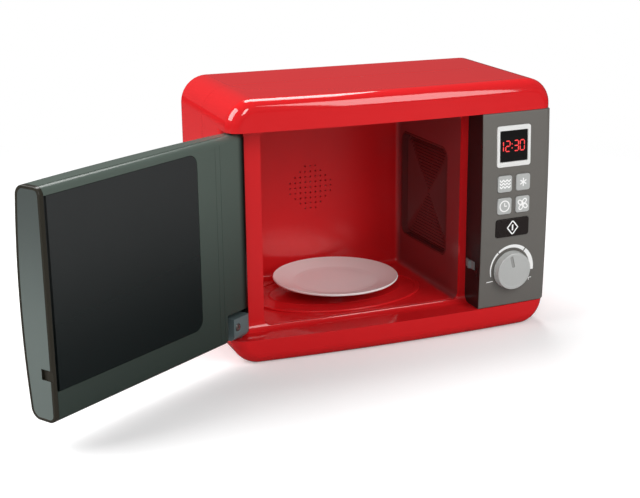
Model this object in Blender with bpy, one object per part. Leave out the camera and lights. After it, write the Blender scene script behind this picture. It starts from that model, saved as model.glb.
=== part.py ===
"""Toy microwave with a side-hung door, a turntable, a timer knob and five push buttons.

Metres, +Z up. The front faces -Y, the origin is the middle of the base under the main shell.
"""

from math import atan, cos, hypot, pi, radians, sin

import bmesh
import bpy
from mathutils import Matrix, Vector

# Main shell.
SHELL_W = 0.310
SHELL_H = 0.235
SHELL_D = 0.153
SHELL_CORNER = 0.0245
FRONT_FILLET = 0.011
REAR_FILLET = 0.005
FRONT_BOW = 0.0066
WALL = 0.0025
REAR_HALF_D = 0.0701
SEAM_DEPTH = SHELL_D - REAR_HALF_D
LAP_LENGTH = 0.004
LAP_LIP = 0.001
GAP = 0.0003
OVERRUN = 0.012
MERGE = 0.0000002

# Rear box that holds the oven's back and the speaker.
BOX_INSET = 0.022
BOX_DEPTH = 0.021
BOX_ROUND = 0.008
BOX_CORNER = 0.010

# Recess across the front, between the two bands.
RECESS_DEPTH = 0.0298
RECESS_LOW = 0.02365
TOP_BAND = 0.0274
RECESS_HIGH = SHELL_H - TOP_BAND
RECESS_FILLET = 0.008
JAMB_ROUND = 0.008
JAMB_POST = 0.010

# Control panel's outline, which the oven's right wall follows.
PANEL_MARGIN = 0.0015
PANEL_W = 0.07275
PANEL_RIGHT = SHELL_W / 2 - PANEL_MARGIN
PANEL_LEFT = PANEL_RIGHT - PANEL_W

# Oven.
JAMB_W = 0.0355
OVEN_TO_PANEL = 0.00645
OVEN_TAPER = 0.0033
SILL_H = 0.00335
LINTEL_H = 0.0041
OVEN_BEYOND = 0.006
OVEN_LEFT = JAMB_W - SHELL_W / 2
OVEN_RIGHT = PANEL_LEFT - OVEN_TO_PANEL
OVEN_RIGHT_BACK = OVEN_RIGHT - OVEN_TAPER
OVEN_FLOOR = RECESS_LOW + SILL_H
OVEN_TOP = RECESS_HIGH - LINTEL_H
OVEN_BACK_DEPTH = SHELL_D + OVEN_BEYOND
OVEN_MID_X = (OVEN_LEFT + OVEN_RIGHT) / 2
OVEN_MID_Z = (OVEN_FLOOR + OVEN_TOP) / 2
OVEN_HALF_D = (OVEN_BACK_DEPTH - RECESS_DEPTH) / 2
OVEN_CORNER = 0.006
OVEN_FILLET = 0.005
LINER_WALL = 0.002
LINER_FLANGE = 0.008

# Speaker behind the oven's back wall.
SPEAKER_OFF_X = -0.0024
SPEAKER_OFF_Z = 0.00025
SPEAKER_X = OVEN_MID_X + SPEAKER_OFF_X
SPEAKER_Z = OVEN_MID_Z + SPEAKER_OFF_Z
SPEAKER_R = 0.024
SPEAKER_DEEP = 0.0096
SPEAKER_CONE_R = 0.020
SPEAKER_RIM = 0.002
SPEAKER_MAGNET_R = 0.011
SOUND_HOLE_R = 0.0009
SOUND_PITCH = 0.0053
SOUND_FIELD_R = 0.0222
SOUND_STEPS = 4

# Grooved panel in the oven's right wall.
VENT_OFF_Z = -0.00225
VENT_BACK_MARGIN = 0.005
VENT_MARGINS_D = 0.0322
VENT_MARGINS_H = 0.0705
VENT_Z = OVEN_MID_Z + VENT_OFF_Z
VENT_W = 2 * OVEN_HALF_D - VENT_MARGINS_D
VENT_H = OVEN_TOP - OVEN_FLOOR - VENT_MARGINS_H
VENT_DEPTH_Y = OVEN_BACK_DEPTH - VENT_BACK_MARGIN - VENT_W / 2
VENT_CORNER = 0.010
VENT_WALL = 0.0015
VENT_DEEP = 0.0065
VENT_FLOOR = 0.0022
VENT_FLANGE = 0.0055
VENT_FLANGE_T = 0.0015
RIDGE_RISE = 0.0012
RIDGE_COUNT = 16

# Turntable.
TURN_OFF_X = -0.0022
TURN_OFF_Y = 0.0011
PAN_MARGIN_W = 0.0114
PAN_MARGIN_D = 0.0049
TURN_X = OVEN_MID_X + TURN_OFF_X
TURN_DEPTH = RECESS_DEPTH + OVEN_HALF_D + TURN_OFF_Y
PAN_HALF_W = (OVEN_RIGHT - OVEN_LEFT) / 2 - PAN_MARGIN_W
PAN_HALF_D = OVEN_HALF_D - PAN_MARGIN_D
PAN_RIM_W = 0.006
PAN_RIM_H = 0.0016
PAN_FLOOR_T = 0.0008
SPINDLE_R = 0.0047
SPINDLE_BORE = 0.0051
SPINDLE_LOW = 0.012
SPINDLE_TOP = 0.0362
HUB_R = 0.012
HUB_LOW = 0.030
HUB_T = 0.003
PLATE_OVERHANG = 0.0003
PLATE_SLOPE_W = 0.022
PLATE_R = PAN_HALF_D + PLATE_OVERHANG
PLATE_RIM_Z = 0.0437
PLATE_BED_R = PLATE_R - PLATE_SLOPE_W
PLATE_BED_Z = 0.0390
PLATE_T = 0.0020
PLATE_BOSS_R = 0.0085
GEAR_HALF_W = 0.028
GEAR_HALF_D = 0.024
GEAR_LOW = 0.006
GEAR_ROUND = 0.004
MOTOR_R = 0.0085
MOTOR_L = 0.025
MOTOR_Z = 0.0152

# Control panel.
PANEL_PROUD = 0.0025
PANEL_SAG = 0.0025
PANEL_EDGE = 0.0015
PANEL_SIDE_ROUND = 0.010
PANEL_WALL = 0.0022
PANEL_LOW = RECESS_LOW + GAP
PANEL_HIGH = RECESS_HIGH - GAP
PANEL_H = PANEL_HIGH - PANEL_LOW
WINDOW_IN = 0.03245
WINDOW_SHARE = 0.83147
WINDOW_X = PANEL_LEFT + WINDOW_IN
WINDOW_Z = PANEL_LOW + WINDOW_SHARE * PANEL_H
FRAME_W = 0.0358
FRAME_H_SHARE = 0.20616
FRAME_H = FRAME_H_SHARE * PANEL_H
FRAME_CORNER = 0.0025
FRAME_RISE = 0.0005
LENS_W = 0.0293
LENS_H_SHARE = 0.15380
LENS_H = LENS_H_SHARE * PANEL_H
LENS_SINK = 0.0003
LENS_T = 0.0014
MODULE_W = 0.026
MODULE_H_SHARE = 0.13090
MODULE_H = MODULE_H_SHARE * PANEL_H
MODULE_T = 0.006
FRAME_SKIRT = 0.0014
FRAME_SKIRT_T = 0.0012

# Push buttons: name, middle in X and Z, width, height.
KEY_W = 0.0150
KEY_H_SHARE = 0.08399
KEY_H = KEY_H_SHARE * PANEL_H
START_W = 0.0354
START_H_SHARE = 0.09272
START_H = START_H_SHARE * PANEL_H
KEY_IN = 0.02325
KEY_PITCH = 0.0195
START_IN = 0.03265
KEY_SHARES = (0.64385, 0.53041, 0.41478)
KEY_LEFT_X = PANEL_LEFT + KEY_IN
KEY_RIGHT_X = KEY_LEFT_X + KEY_PITCH
START_X = PANEL_LEFT + START_IN
KEY_UPPER_Z, KEY_LOWER_Z, START_Z = (PANEL_LOW + share * PANEL_H for share in KEY_SHARES)
BUTTONS = (
    ("button_defrost", KEY_LEFT_X, KEY_UPPER_Z, KEY_W, KEY_H),
    ("button_cool", KEY_RIGHT_X, KEY_UPPER_Z, KEY_W, KEY_H),
    ("button_clock", KEY_LEFT_X, KEY_LOWER_Z, KEY_W, KEY_H),
    ("button_fan", KEY_RIGHT_X, KEY_LOWER_Z, KEY_W, KEY_H),
    ("start_button", START_X, START_Z, START_W, START_H),
)
BUTTON_CORNER = 0.0025
BUTTON_RISE = 0.0010
BUTTON_EDGE = 0.0005
BUTTON_FLANGE = 0.0010
BUTTON_FLANGE_T = 0.0012
BUTTON_TRAVEL = 0.0015
DOME_R = 0.0018

# Circuit board and keypad inside the panel.
BOARD_IN = 0.00625
BOARD_IN_RIGHT = 0.0135
BOARD_UNDER = 0.0140
BOARD_TOP_GAP = 0.0063
BOARD_LEFT = PANEL_LEFT + BOARD_IN
BOARD_RIGHT = PANEL_RIGHT - BOARD_IN_RIGHT
BOARD_LOW = START_Z - BOARD_UNDER
BOARD_HIGH = PANEL_HIGH - BOARD_TOP_GAP
BOARD_DEPTH = 0.0140
BOARD_T = 0.0016
PAD_T = 0.0012
PAD_MARGIN = 0.0090
PAD_MARGIN_RIGHT = 0.0085
PAD_LEFT = KEY_LEFT_X - PAD_MARGIN
PAD_RIGHT = KEY_RIGHT_X + PAD_MARGIN_RIGHT
PAD_LOW = START_Z - PAD_MARGIN
PAD_HIGH = KEY_UPPER_Z + PAD_MARGIN
BOARD_POST_R = 0.003
BOARD_POST_IN = 0.0035
BOARD_POST_IN_RIGHT = 0.0025
BOARD_POST_END = 0.0050
BOARD_POSTS = (
    (BOARD_LEFT + BOARD_POST_IN, BOARD_HIGH - BOARD_POST_END),
    (BOARD_RIGHT - BOARD_POST_IN_RIGHT, BOARD_LOW + BOARD_POST_END),
)
WIRE_HOLE_IN = 0.0130
WIRE_HOLE_W = 0.0160
WIRE_HOLE_OVER = 0.0080
WIRE_HOLE_H = 0.0120
WIRE_HOLE_X = BOARD_LEFT + WIRE_HOLE_IN
WIRE_HOLE_Z = KEY_UPPER_Z + WIRE_HOLE_OVER

# Timer knob.
KNOB_SHARE = 0.19280
KNOB_X = START_X
KNOB_Z = PANEL_LOW + KNOB_SHARE * PANEL_H
KNOB_R = 0.0183
KNOB_FACE_R = 0.0176
KNOB_H = 0.0072
KNOB_EDGE = 0.0008
KNOB_FLOAT = 0.0004
KNOB_BORE_DEEP = 0.0052
POINTER_TURN = 15
POINTER_FROM = 0.0037
POINTER_TO = 0.0155
POINTER_W = 0.0032
POINTER_DEEP = 0.0008
SHAFT_R = 0.0027
SHAFT_IN = 0.0120
COLLAR_R = 0.0048
COLLAR_T = 0.0012
TIMER_W = 0.024
TIMER_T = 0.012

# Posts that the panel's two screws pull on.
PANEL_POST_R = 0.0035
PANEL_POST_IN = 0.0090
PANEL_POST_UNDER = 0.0114
PANEL_POST_OVER = 0.0107
PANEL_POSTS = (
    (PANEL_RIGHT - PANEL_POST_IN, WINDOW_Z - PANEL_POST_UNDER),
    (PANEL_RIGHT - PANEL_POST_IN, KNOB_Z + PANEL_POST_OVER),
)

# Latch in the panel's left side.
LATCH_FRONT = 0.0111
LATCH_REAR = 0.0275
LATCH_UP = 0.03585
LATCH_H = 0.0075
LATCH_LOW = RECESS_LOW + LATCH_UP
LATCH_HIGH = LATCH_LOW + LATCH_H
LATCH_RISE = 0.0006
NOSE_RISE = 0.0026
NOSE_DEPTHS = (0.0176, 0.0186, 0.0206, 0.0221)
LATCH_TRAVEL = 0.0026
LATCH_FLANGE = 0.0011
LATCH_FLANGE_T = 0.0015
GUIDE_WALL = 0.0012
GUIDE_DEEP = 0.0070

# Door, measured from its hinge axis: U along the closed door, V towards the oven.
HINGE_IN = 0.0088
HINGE_X = HINGE_IN - SHELL_W / 2
HINGE_DEPTH = 0.0200
DOOR_OPEN = 147
DOOR_L = 0.2260
DOOR_UNDER_GAP = 0.00155
DOOR_OVER_GAP = 0.0012
DOOR_LOW = RECESS_LOW + DOOR_UNDER_GAP
DOOR_HIGH = RECESS_HIGH - DOOR_OVER_GAP
DOOR_BACK_V = 0.0086
DOOR_PROUD = 0.0027
DOOR_SAG = 0.0040
DOOR_FRONT_ROUND = 0.009
DOOR_BACK_ROUND = 0.0065
DOOR_ROUND_SHARE = 0.42
DOOR_FULL_T = 0.025
DOOR_WALL = 0.0022
DOOR_SPLIT_V = 0.0032
BARREL_R = 0.0086
BARREL_TURNS = (6, 18, 32, 45)
CHORD_U = 0.0040
CHORD_V = -0.0152
EASE_U = 0.040
EASE_STATIONS = (0.012, 0.026)
BOW_SHARES = (0, 0.25, 0.5, 0.75)
DOOR_STATIONS = EASE_STATIONS + tuple(EASE_U + (DOOR_L - EASE_U) * share for share in BOW_SHARES)
HOLLOW_FROM_U = 0.028
END_CAP_T = 0.0037
CAP_TAB_L = 0.0140
CAP_TAB_U = DOOR_L - CAP_TAB_L
CAP_TAB_V = (-0.012, 0.0024)
CAP_TAB_H = 0.0220
CAP_TAB_UP = 0.0088
CAP_TAB_DOWN = 0.0124
CAP_TAB_Z = (
    (DOOR_LOW + CAP_TAB_UP, DOOR_LOW + CAP_TAB_UP + CAP_TAB_H),
    (DOOR_HIGH - CAP_TAB_DOWN - CAP_TAB_H, DOOR_HIGH - CAP_TAB_DOWN),
)
WINDOW_FROM_U = 0.057
WINDOW_END_IN = 0.0064
WINDOW_SILL = 0.0248
WINDOW_HEAD = 0.0067
WINDOW_TO_U = DOOR_L - WINDOW_END_IN
WINDOW_LOW = DOOR_LOW + WINDOW_SILL
WINDOW_HIGH = DOOR_HIGH - WINDOW_HEAD
WINDOW_CORNER = 0.0095
WINDOW_T = 0.0023
WINDOW_LIP_T = 0.0017
WINDOW_LIP = 0.0028
WINDOW_LIP_TOP = 0.0011
POCKET_R = 0.0094
PIN_R = 0.0025
PIN_HOLE_R = 0.0028
PIN_REACH = 0.0030
PIN_ROOT = 0.0080
SLOT_DEPTHS = (0.0170, 0.0227)
SLOT_DEEP = 0.0022
CHANNEL_DEEP = 0.0008
SLOT_MARGIN = 0.0005

# Hinge block at the door's foot.
BLOCK_U = (-0.0040, 0.0170)
BLOCK_V = -0.0033
BLOCK_UP = 0.0004
BLOCK_H = 0.0204
BLOCK_LOW = DOOR_LOW + BLOCK_UP
BLOCK_HIGH = BLOCK_LOW + BLOCK_H
BLOCK_PROUD = 0.0002
NOTCH_TO_U = 0.0250
NOTCH_OVER = 0.0060
NOTCH_HIGH = BLOCK_HIGH + NOTCH_OVER
BLOCK_SCREW_U = 0.0117
BLOCK_SCREW_UP = 0.0122
BLOCK_SCREW_Z = BLOCK_LOW + BLOCK_SCREW_UP
BLOCK_SCREW_L = 0.018

# Screws.
SHANK_R = 0.00115
PILOT_R = 0.00145
THROUGH_R = 0.0016
HEAD_R = 0.0030
HEAD_T = 0.0018
HEAD_CLEAR = 0.0005
CROSS_W = 0.0007
CROSS_L = 0.0034
CROSS_DEEP = 0.0009

# Long screws that hold the two shells together.
SCREW_IN_LEFT = 0.0155
SCREW_IN_RIGHT = 0.0140
SCREW_UP = 0.0450
SHELL_SCREWS = (
    (SCREW_IN_LEFT - SHELL_W / 2, SCREW_UP),
    (SCREW_IN_LEFT - SHELL_W / 2, SHELL_H - SCREW_UP),
    (SHELL_W / 2 - SCREW_IN_RIGHT, SCREW_UP),
    (SHELL_W / 2 - SCREW_IN_RIGHT, SHELL_H - SCREW_UP),
)
POST_R = 0.0045
POST_BEYOND = 0.0171
POST_END_DEPTH = SEAM_DEPTH + POST_BEYOND
PILOT_DEEP = 0.020
WELL_R = 0.0060
WELL_BORE = 0.0040
WELL_FLOOR = 0.0022
SHELL_SCREW_L = 0.018
PANEL_SCREW_L = 0.011
BOARD_SCREW_L = 0.007

# Battery box behind a cover in the rear box.
CELL_R = 0.00525
CELL_L = 0.0445
CELL_TIP_R = 0.0019
CELL_TIP = 0.0008
CELL_PITCH = 0.0109
CELL_IN = 0.050
CELL_BEYOND = 0.0110
CELL_X = SHELL_W / 2 - CELL_IN
CELL_LOW = 0.0608
CELL_DEPTH = SHELL_D + CELL_BEYOND
TRAY_WALL = 0.0012
TRAY_W = 0.0328
TRAY_LOW = 0.0600
TRAY_HIGH = 0.1068
TRAY_BEYOND = 0.0048
TRAY_DEPTH = SHELL_D + TRAY_BEYOND
TRAY_FLANGE = 0.0030
COVER_W = 0.0370
COVER_LOW = 0.0490
COVER_HIGH = 0.1120
COVER_T = 0.0025
COVER_SINK = 0.0019
COVER_CORNER = 0.0030
COVER_SCREW_Z = 0.0540
COVER_BOSS_R = 0.0035
COVER_BOSS_L = 0.010
COVER_SCREW_L = 0.008

# Mesh fineness.
CORNER_STEPS = 4
BOW_COLUMNS = 6
FINE_SIDES = 32
ROUND_SIDES = 20
SMALL_SIDES = 10
SCREW_SIDES = 8
HOLE_SIDES = 5

FRONT_Y = -SHELL_D / 2
REAR_Y = SHELL_D / 2
BOX_BACK_Y = REAR_Y + BOX_DEPTH
SEAM_Y = FRONT_Y + SEAM_DEPTH
JAMB_Y = FRONT_Y + RECESS_DEPTH
JAMB_BACK_Y = JAMB_Y + WALL
OVEN_BACK_Y = FRONT_Y + OVEN_BACK_DEPTH
OVEN_BEND_Y = OVEN_BACK_Y - OVEN_FILLET
HALF_W = SHELL_W / 2
PANEL_MID_Z = (PANEL_LOW + PANEL_HIGH) / 2
PANEL_BACK_Y = JAMB_Y - GAP
CAP_U = DOOR_L - END_CAP_T
SHELL_END_U = CAP_U - GAP

SLOTS = {
    "red_shell": ((0.72, 0.012, 0.018), 0.0, 0.22),
    "red_oven": ((0.62, 0.010, 0.016), 0.0, 0.30),
    "dark_panel": ((0.10, 0.096, 0.088), 0.0, 0.38),
    "pale_trim": ((0.82, 0.82, 0.80), 0.0, 0.35),
    "black_window": ((0.008, 0.008, 0.010), 0.0, 0.08),
    "silver_keys": ((0.48, 0.49, 0.49), 0.1, 0.40),
    "black_key": ((0.020, 0.018, 0.018), 0.0, 0.30),
    "silver_knob": ((0.45, 0.46, 0.46), 0.2, 0.38),
    "grey_latch": ((0.20, 0.23, 0.23), 0.0, 0.45),
    "smoky_door": ((0.075, 0.095, 0.090), 0.0, 0.28),
    "smoky_cap": ((0.085, 0.105, 0.100), 0.0, 0.34),
    "white_plate": ((0.85, 0.85, 0.84), 0.0, 0.20),
    "screw_steel": ((0.55, 0.54, 0.52), 1.0, 0.35),
    "green_board": ((0.02, 0.16, 0.06), 0.0, 0.50),
    "grey_rubber": ((0.25, 0.25, 0.26), 0.0, 0.80),
    "black_plastic": ((0.020, 0.020, 0.022), 0.0, 0.45),
    "cell_sleeve": ((0.06, 0.08, 0.10), 0.3, 0.35),
}


def clear_scene():
    for item in list(bpy.data.objects):
        bpy.data.objects.remove(item, do_unlink=True)


def new_collection(name):
    made = bpy.data.collections.new(name)
    bpy.context.scene.collection.children.link(made)
    return made


def new_material(name, color, metallic, roughness):
    made = bpy.data.materials.new(name)
    made.use_nodes = True
    shader = made.node_tree.nodes["Principled BSDF"]
    shader.inputs["Base Color"].default_value = (*color, 1)
    shader.inputs["Metallic"].default_value = metallic
    shader.inputs["Roughness"].default_value = roughness
    return made


clear_scene()
PARTS = new_collection("toy_microwave")
TOOLS = new_collection("tools")
MATERIALS = {name: new_material(name, *look) for name, look in SLOTS.items()}


def add_object(name, shape, collection, matrix):
    mesh = bpy.data.meshes.new(name)
    bmesh.ops.remove_doubles(shape, verts=shape.verts, dist=MERGE)
    bmesh.ops.dissolve_degenerate(shape, edges=shape.edges, dist=MERGE)
    bmesh.ops.recalc_face_normals(shape, faces=shape.faces)
    shape.to_mesh(mesh)
    shape.free()
    item = bpy.data.objects.new(name, mesh)
    item.matrix_world = matrix or Matrix.Identity(4)
    collection.objects.link(item)
    return item


def piece(name, shape, slot, matrix=None):
    """A named piece of the toy, with its own material."""
    item = add_object(name, shape, PARTS, matrix)
    item.data.materials.append(MATERIALS[slot])
    return item


def helper(name, shape, matrix=None):
    item = add_object(name, shape, TOOLS, matrix)
    item.hide_render = True
    item.display_type = "WIRE"
    return item


def shape_with(item, shape, operation, matrix=None):
    """Adds one Boolean step to the item. The helper takes the item's place unless it is given its own."""
    name = f"{item.name}_{operation.lower()}_{len(item.modifiers)}"
    tool = helper(name, shape, matrix or item.matrix_world)
    step = item.modifiers.new(name, "BOOLEAN")
    step.operation = operation
    step.solver = "EXACT"
    step.object = tool
    return tool


def cut(item, shape, matrix=None):
    return shape_with(item, shape, "DIFFERENCE", matrix)


def join(item, shape, matrix=None):
    return shape_with(item, shape, "UNION", matrix)


def keep(item, shape, matrix=None):
    return shape_with(item, shape, "INTERSECT", matrix)


def loft(rings):
    """A closed skin through rings whose second half mirrors the first, so each end closes in strips."""
    shape = bmesh.new()
    rows = [[shape.verts.new(point) for point in ring] for ring in rings]
    count = len(rows[0])
    for row, after in zip(rows, rows[1:]):
        for i in range(count):
            j = (i + 1) % count
            shape.faces.new((row[i], row[j], after[j], after[i]))
    for row in (rows[0], rows[-1]):
        for i in range(count // 2 - 1):
            corners = (row[i], row[i + 1], row[count - 2 - i], row[count - 1 - i])
            shape.faces.new(corners)
    return shape


def rounded(a0, a1, b0, b1, radius, columns=1, steps=CORNER_STEPS):
    """Pairs round a rectangle with rounded corners: its upper side from a0 to a1, then back below."""
    turns = [pi / 2 * k / steps for k in range(steps + 1)]
    lead = [(radius * (1 - cos(q)), b1 - radius * (1 - sin(q))) for q in turns]
    run = a1 - a0 - 2 * radius
    upper = [(a0 + step, b) for step, b in lead]
    upper += [(a0 + radius + run * k / columns, b1) for k in range(1, columns)]
    upper += [(a1 - step, b) for step, b in reversed(lead)]
    return upper + [(a, b0 + b1 - b) for a, b in reversed(upper)]


def oval(x, y, half_w, half_d):
    count = FINE_SIDES // 2
    turns = [pi * (1 - k / count) for k in range(count + 1)]
    upper = [(x + half_w * cos(q), y + half_d * sin(q)) for q in turns]
    return upper + [(a, 2 * y - b) for a, b in reversed(upper)]


def along_x(pairs, x):
    return [(x, a, b) for a, b in pairs]


def along_y(pairs, y):
    return [(a, y, b) for a, b in pairs]


def along_z(pairs, z):
    return [(a, b, z) for a, b in pairs]


def block(xs, ys, zs, radius=0, way=along_z):
    """A box whose four edges along one direction may be rounded."""
    if way is along_z:
        pairs, ends = rounded(*xs, *ys, radius), zs
    elif way is along_y:
        pairs, ends = rounded(*xs, *zs, radius), ys
    else:
        pairs, ends = rounded(*ys, *zs, radius), xs
    return loft([way(pairs, end) for end in ends])


def prism(corners, low, high):
    """An upright prism on any outline in X and Y."""
    shape = bmesh.new()
    rows = [[shape.verts.new((x, y, z)) for x, y in corners] for z in (low, high)]
    count = len(corners)
    for i in range(count):
        j = (i + 1) % count
        shape.faces.new((rows[0][i], rows[0][j], rows[1][j], rows[1][i]))
    for row in rows:
        shape.faces.new(row)
    return shape


def rod(start, end, radius, sides=SMALL_SIDES, shape=None, tip=None):
    shape = shape or bmesh.new()
    run = Vector(end) - Vector(start)
    middle = Matrix.Translation((Vector(start) + Vector(end)) / 2)
    turn = run.to_track_quat("Z", "Y").to_matrix().to_4x4()
    bmesh.ops.create_cone(
        shape,
        cap_ends=True,
        segments=sides,
        radius1=radius,
        radius2=tip or radius,
        depth=run.length,
        matrix=middle @ turn,
    )
    return shape


def turned(profile, sides=ROUND_SIDES):
    """Turns pairs of radius and height about Z."""
    shape = bmesh.new()
    points = [shape.verts.new((radius, 0, height)) for radius, height in profile]
    lines = [shape.edges.new(ends) for ends in zip(points, points[1:])]
    bmesh.ops.spin(
        shape,
        geom=points + lines,
        cent=(0, 0, 0),
        axis=(0, 0, 1),
        angle=2 * pi,
        steps=sides,
        use_merge=True,
    )
    return shape


def screw(name, head, way, length):
    """A pan-head screw with a cross recess. Its head's outer middle is at head, and way points inwards."""
    turn = Vector(way).to_track_quat("Z", "Y").to_matrix().to_4x4()
    place = Matrix.Translation(Vector(head)) @ turn
    crown = HEAD_T / 3
    profile = (
        (0, 0),
        (HEAD_R - crown, 0),
        (HEAD_R, crown),
        (HEAD_R, HEAD_T),
        (SHANK_R, HEAD_T),
        (SHANK_R, length - SHANK_R),
        (0, length),
    )
    made = piece(name, turned(profile, SCREW_SIDES), "screw_steel", place)
    arms = ((CROSS_W / 2, CROSS_L / 2), (CROSS_L / 2, CROSS_W / 2))
    corners = [
        (-arms[0][0], -arms[0][1]),
        (arms[0][0], -arms[0][1]),
        (arms[0][0], -arms[0][0]),
        (arms[0][1], -arms[0][0]),
        (arms[0][1], arms[0][0]),
        (arms[0][0], arms[0][0]),
        (arms[0][0], arms[0][1]),
        (-arms[0][0], arms[0][1]),
        (-arms[0][0], arms[0][0]),
        (-arms[0][1], arms[0][0]),
        (-arms[0][1], -arms[0][0]),
        (-arms[0][0], -arms[0][0]),
    ]
    cut(made, prism(corners, -CROSS_DEEP, CROSS_DEEP))
    return made


def arc_pairs(radius, steps=CORNER_STEPS):
    """Inset and advance of a quarter round, from its face to its side."""
    turns = [pi / 2 * k / steps for k in range(steps + 1)]
    return [(radius * (1 - sin(q)), radius * (1 - cos(q))) for q in turns]


def bow(x):
    return FRONT_BOW * (x / HALF_W) ** 2


def shell_ring(y, inset, corner=None, columns=BOW_COLUMNS):
    """A ring of the shell. The bow of the front fades out towards the seam."""
    radius = SHELL_CORNER - inset if corner is None else corner
    pairs = rounded(
        inset - HALF_W,
        HALF_W - inset,
        inset,
        SHELL_H - inset,
        radius,
        columns,
    )
    share = min(1, max(0, (SEAM_Y - LAP_LENGTH - y) / (SEAM_DEPTH - LAP_LENGTH - FRONT_FILLET)))
    return [(a, y + share * bow(a), b) for a, b in pairs]


def rear_ring(y, inset, corner=None):
    return shell_ring(y, inset, corner, 1)


def recess_ring(x, spread):
    pairs = rounded(
        FRONT_Y - 2 * OVERRUN,
        JAMB_Y + spread,
        RECESS_LOW - spread,
        RECESS_HIGH + spread,
        RECESS_FILLET + spread,
    )
    return along_x(pairs, x)


def recess(spread, reach):
    return loft([recess_ring(x, spread) for x in (-reach, reach)])


def oven_ring(y, spread):
    fall = (OVEN_RIGHT - OVEN_RIGHT_BACK) * (y - JAMB_Y) / (OVEN_BEND_Y - JAMB_Y)
    right = OVEN_RIGHT - min(OVEN_RIGHT - OVEN_RIGHT_BACK, max(0, fall))
    pairs = rounded(
        OVEN_LEFT - spread,
        right + spread,
        OVEN_FLOOR - spread,
        OVEN_TOP + spread,
        OVEN_CORNER + max(0, spread),
    )
    return along_y(pairs, y)


def oven_solid(start_y, spread):
    """The oven's space, or its outside where spread is above zero, with a rounded back."""
    radius = OVEN_FILLET + spread
    rings = [oven_ring(start_y, spread), oven_ring(OVEN_BEND_Y, spread)]
    for inset, advance in reversed(arc_pairs(radius)[:-1]):
        rings.append(oven_ring(OVEN_BEND_Y + radius - advance, spread - inset))
    return loft(rings)


def panel_front(x, z):
    """Y of the control panel's front at a point of it."""
    rise = (z - PANEL_MID_Z) / (PANEL_HIGH - PANEL_MID_Z)
    return FRONT_Y - PANEL_PROUD + bow(x) + PANEL_SAG * rise**2


def face_frame(x, z):
    """A frame on the panel's front: local X right, local Y up, local Z out of the panel."""
    slope_x = 2 * FRONT_BOW * x / HALF_W**2
    slope_z = 2 * PANEL_SAG * (z - PANEL_MID_Z) / (PANEL_HIGH - PANEL_MID_Z) ** 2
    out = Vector((slope_x, -1, slope_z)).normalized()
    right = Vector((1, slope_x, 0)).normalized()
    up = out.cross(right)
    place = Matrix((right, up, out)).transposed().to_4x4()
    place.translation = Vector((x, panel_front(x, z), z))
    return place


def d_ring(front, back, low, high, front_round, back_round, sag):
    """A D section in Y and Z: bowed front, flat back, rounded corners."""
    middle = (low + high) / 2
    reach = high - middle - front_round
    shares = [k / CORNER_STEPS for k in range(CORNER_STEPS)]
    upper = [(front + sag * share**2, middle + reach * share) for share in shares]
    quarter = [pi / 2 * k / CORNER_STEPS for k in range(CORNER_STEPS + 1)]
    edge = front + sag
    upper += [(edge + front_round * (1 - cos(q)), high - front_round * (1 - sin(q))) for q in quarter]
    upper += [(back - back_round * (1 - sin(q)), high - back_round * (1 - cos(q))) for q in quarter]
    return upper + [(a, low + high - b) for a, b in reversed(upper)]


def panel_solid(inset, back_y):
    """The panel's outside, or its hollow where inset is above zero."""
    right = PANEL_RIGHT - inset
    bend = PANEL_RIGHT - PANEL_SIDE_ROUND
    radius = PANEL_SIDE_ROUND - inset
    stops = [(PANEL_LEFT + inset, 0)]
    stops += [(PANEL_LEFT + (bend - PANEL_LEFT) * k / 4, 0) for k in range(1, 4)]
    turns = [pi / 2 * k / CORNER_STEPS for k in range(CORNER_STEPS + 1)]
    stops += [(bend + radius * sin(q), radius * (1 - cos(q))) for q in turns]
    rings = []
    for x, step in stops:
        pairs = d_ring(
            FRONT_Y - PANEL_PROUD + inset + bow(min(x, right)) + step,
            back_y,
            PANEL_LOW + inset,
            PANEL_HIGH - inset,
            max(PANEL_EDGE - inset, MERGE),
            RECESS_FILLET - inset,
            PANEL_SAG,
        )
        rings.append(along_x(pairs, x))
    return loft(rings)


def door_front_v(u):
    line = FRONT_Y - DOOR_PROUD + bow(HINGE_X + u) - HINGE_Y
    lift = CHORD_V - (FRONT_Y - DOOR_PROUD + bow(HINGE_X + CHORD_U) - HINGE_Y)
    share = max(0, (EASE_U - u) / (EASE_U - CHORD_U))
    return line + lift * share**2


def door_stations():
    """U, front V and back V along the door: a round barrel, a flat run to the front, then the bow."""
    found = []
    for turn in BARREL_TURNS:
        u = -BARREL_R * cos(radians(turn))
        found.append((u, -BARREL_R * sin(radians(turn)), BARREL_R * sin(radians(turn))))
    start_u = -BARREL_R * cos(radians(BARREL_TURNS[-1]))
    start_v = -BARREL_R * sin(radians(BARREL_TURNS[-1]))
    for turn in (60, 75, 90):
        u = -BARREL_R * cos(radians(turn))
        share = (u - start_u) / (CHORD_U - start_u)
        found.append((u, start_v + share * (CHORD_V - start_v), BARREL_R * sin(radians(turn))))
    found.append((CHORD_U, CHORD_V, DOOR_BACK_V))
    found += [(u, door_front_v(u), DOOR_BACK_V) for u in DOOR_STATIONS]
    return found


def door_ring(u, front, back, inset):
    thick = back - front
    front_round = min(DOOR_FRONT_ROUND, DOOR_ROUND_SHARE * thick)
    back_round = min(DOOR_BACK_ROUND, DOOR_ROUND_SHARE * thick)
    pairs = d_ring(
        front + inset,
        back - inset,
        DOOR_LOW + inset,
        DOOR_HIGH - inset,
        front_round - inset,
        back_round - inset,
        DOOR_SAG * min(1, thick / DOOR_FULL_T),
    )
    return along_x(pairs, u)


def door_solid(end_u):
    """The whole door from its barrel to end_u."""
    rings = [door_ring(u, front, back, 0) for u, front, back in door_stations()]
    rings.append(door_ring(end_u, door_front_v(end_u), DOOR_BACK_V, 0))
    return loft(rings)


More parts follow.
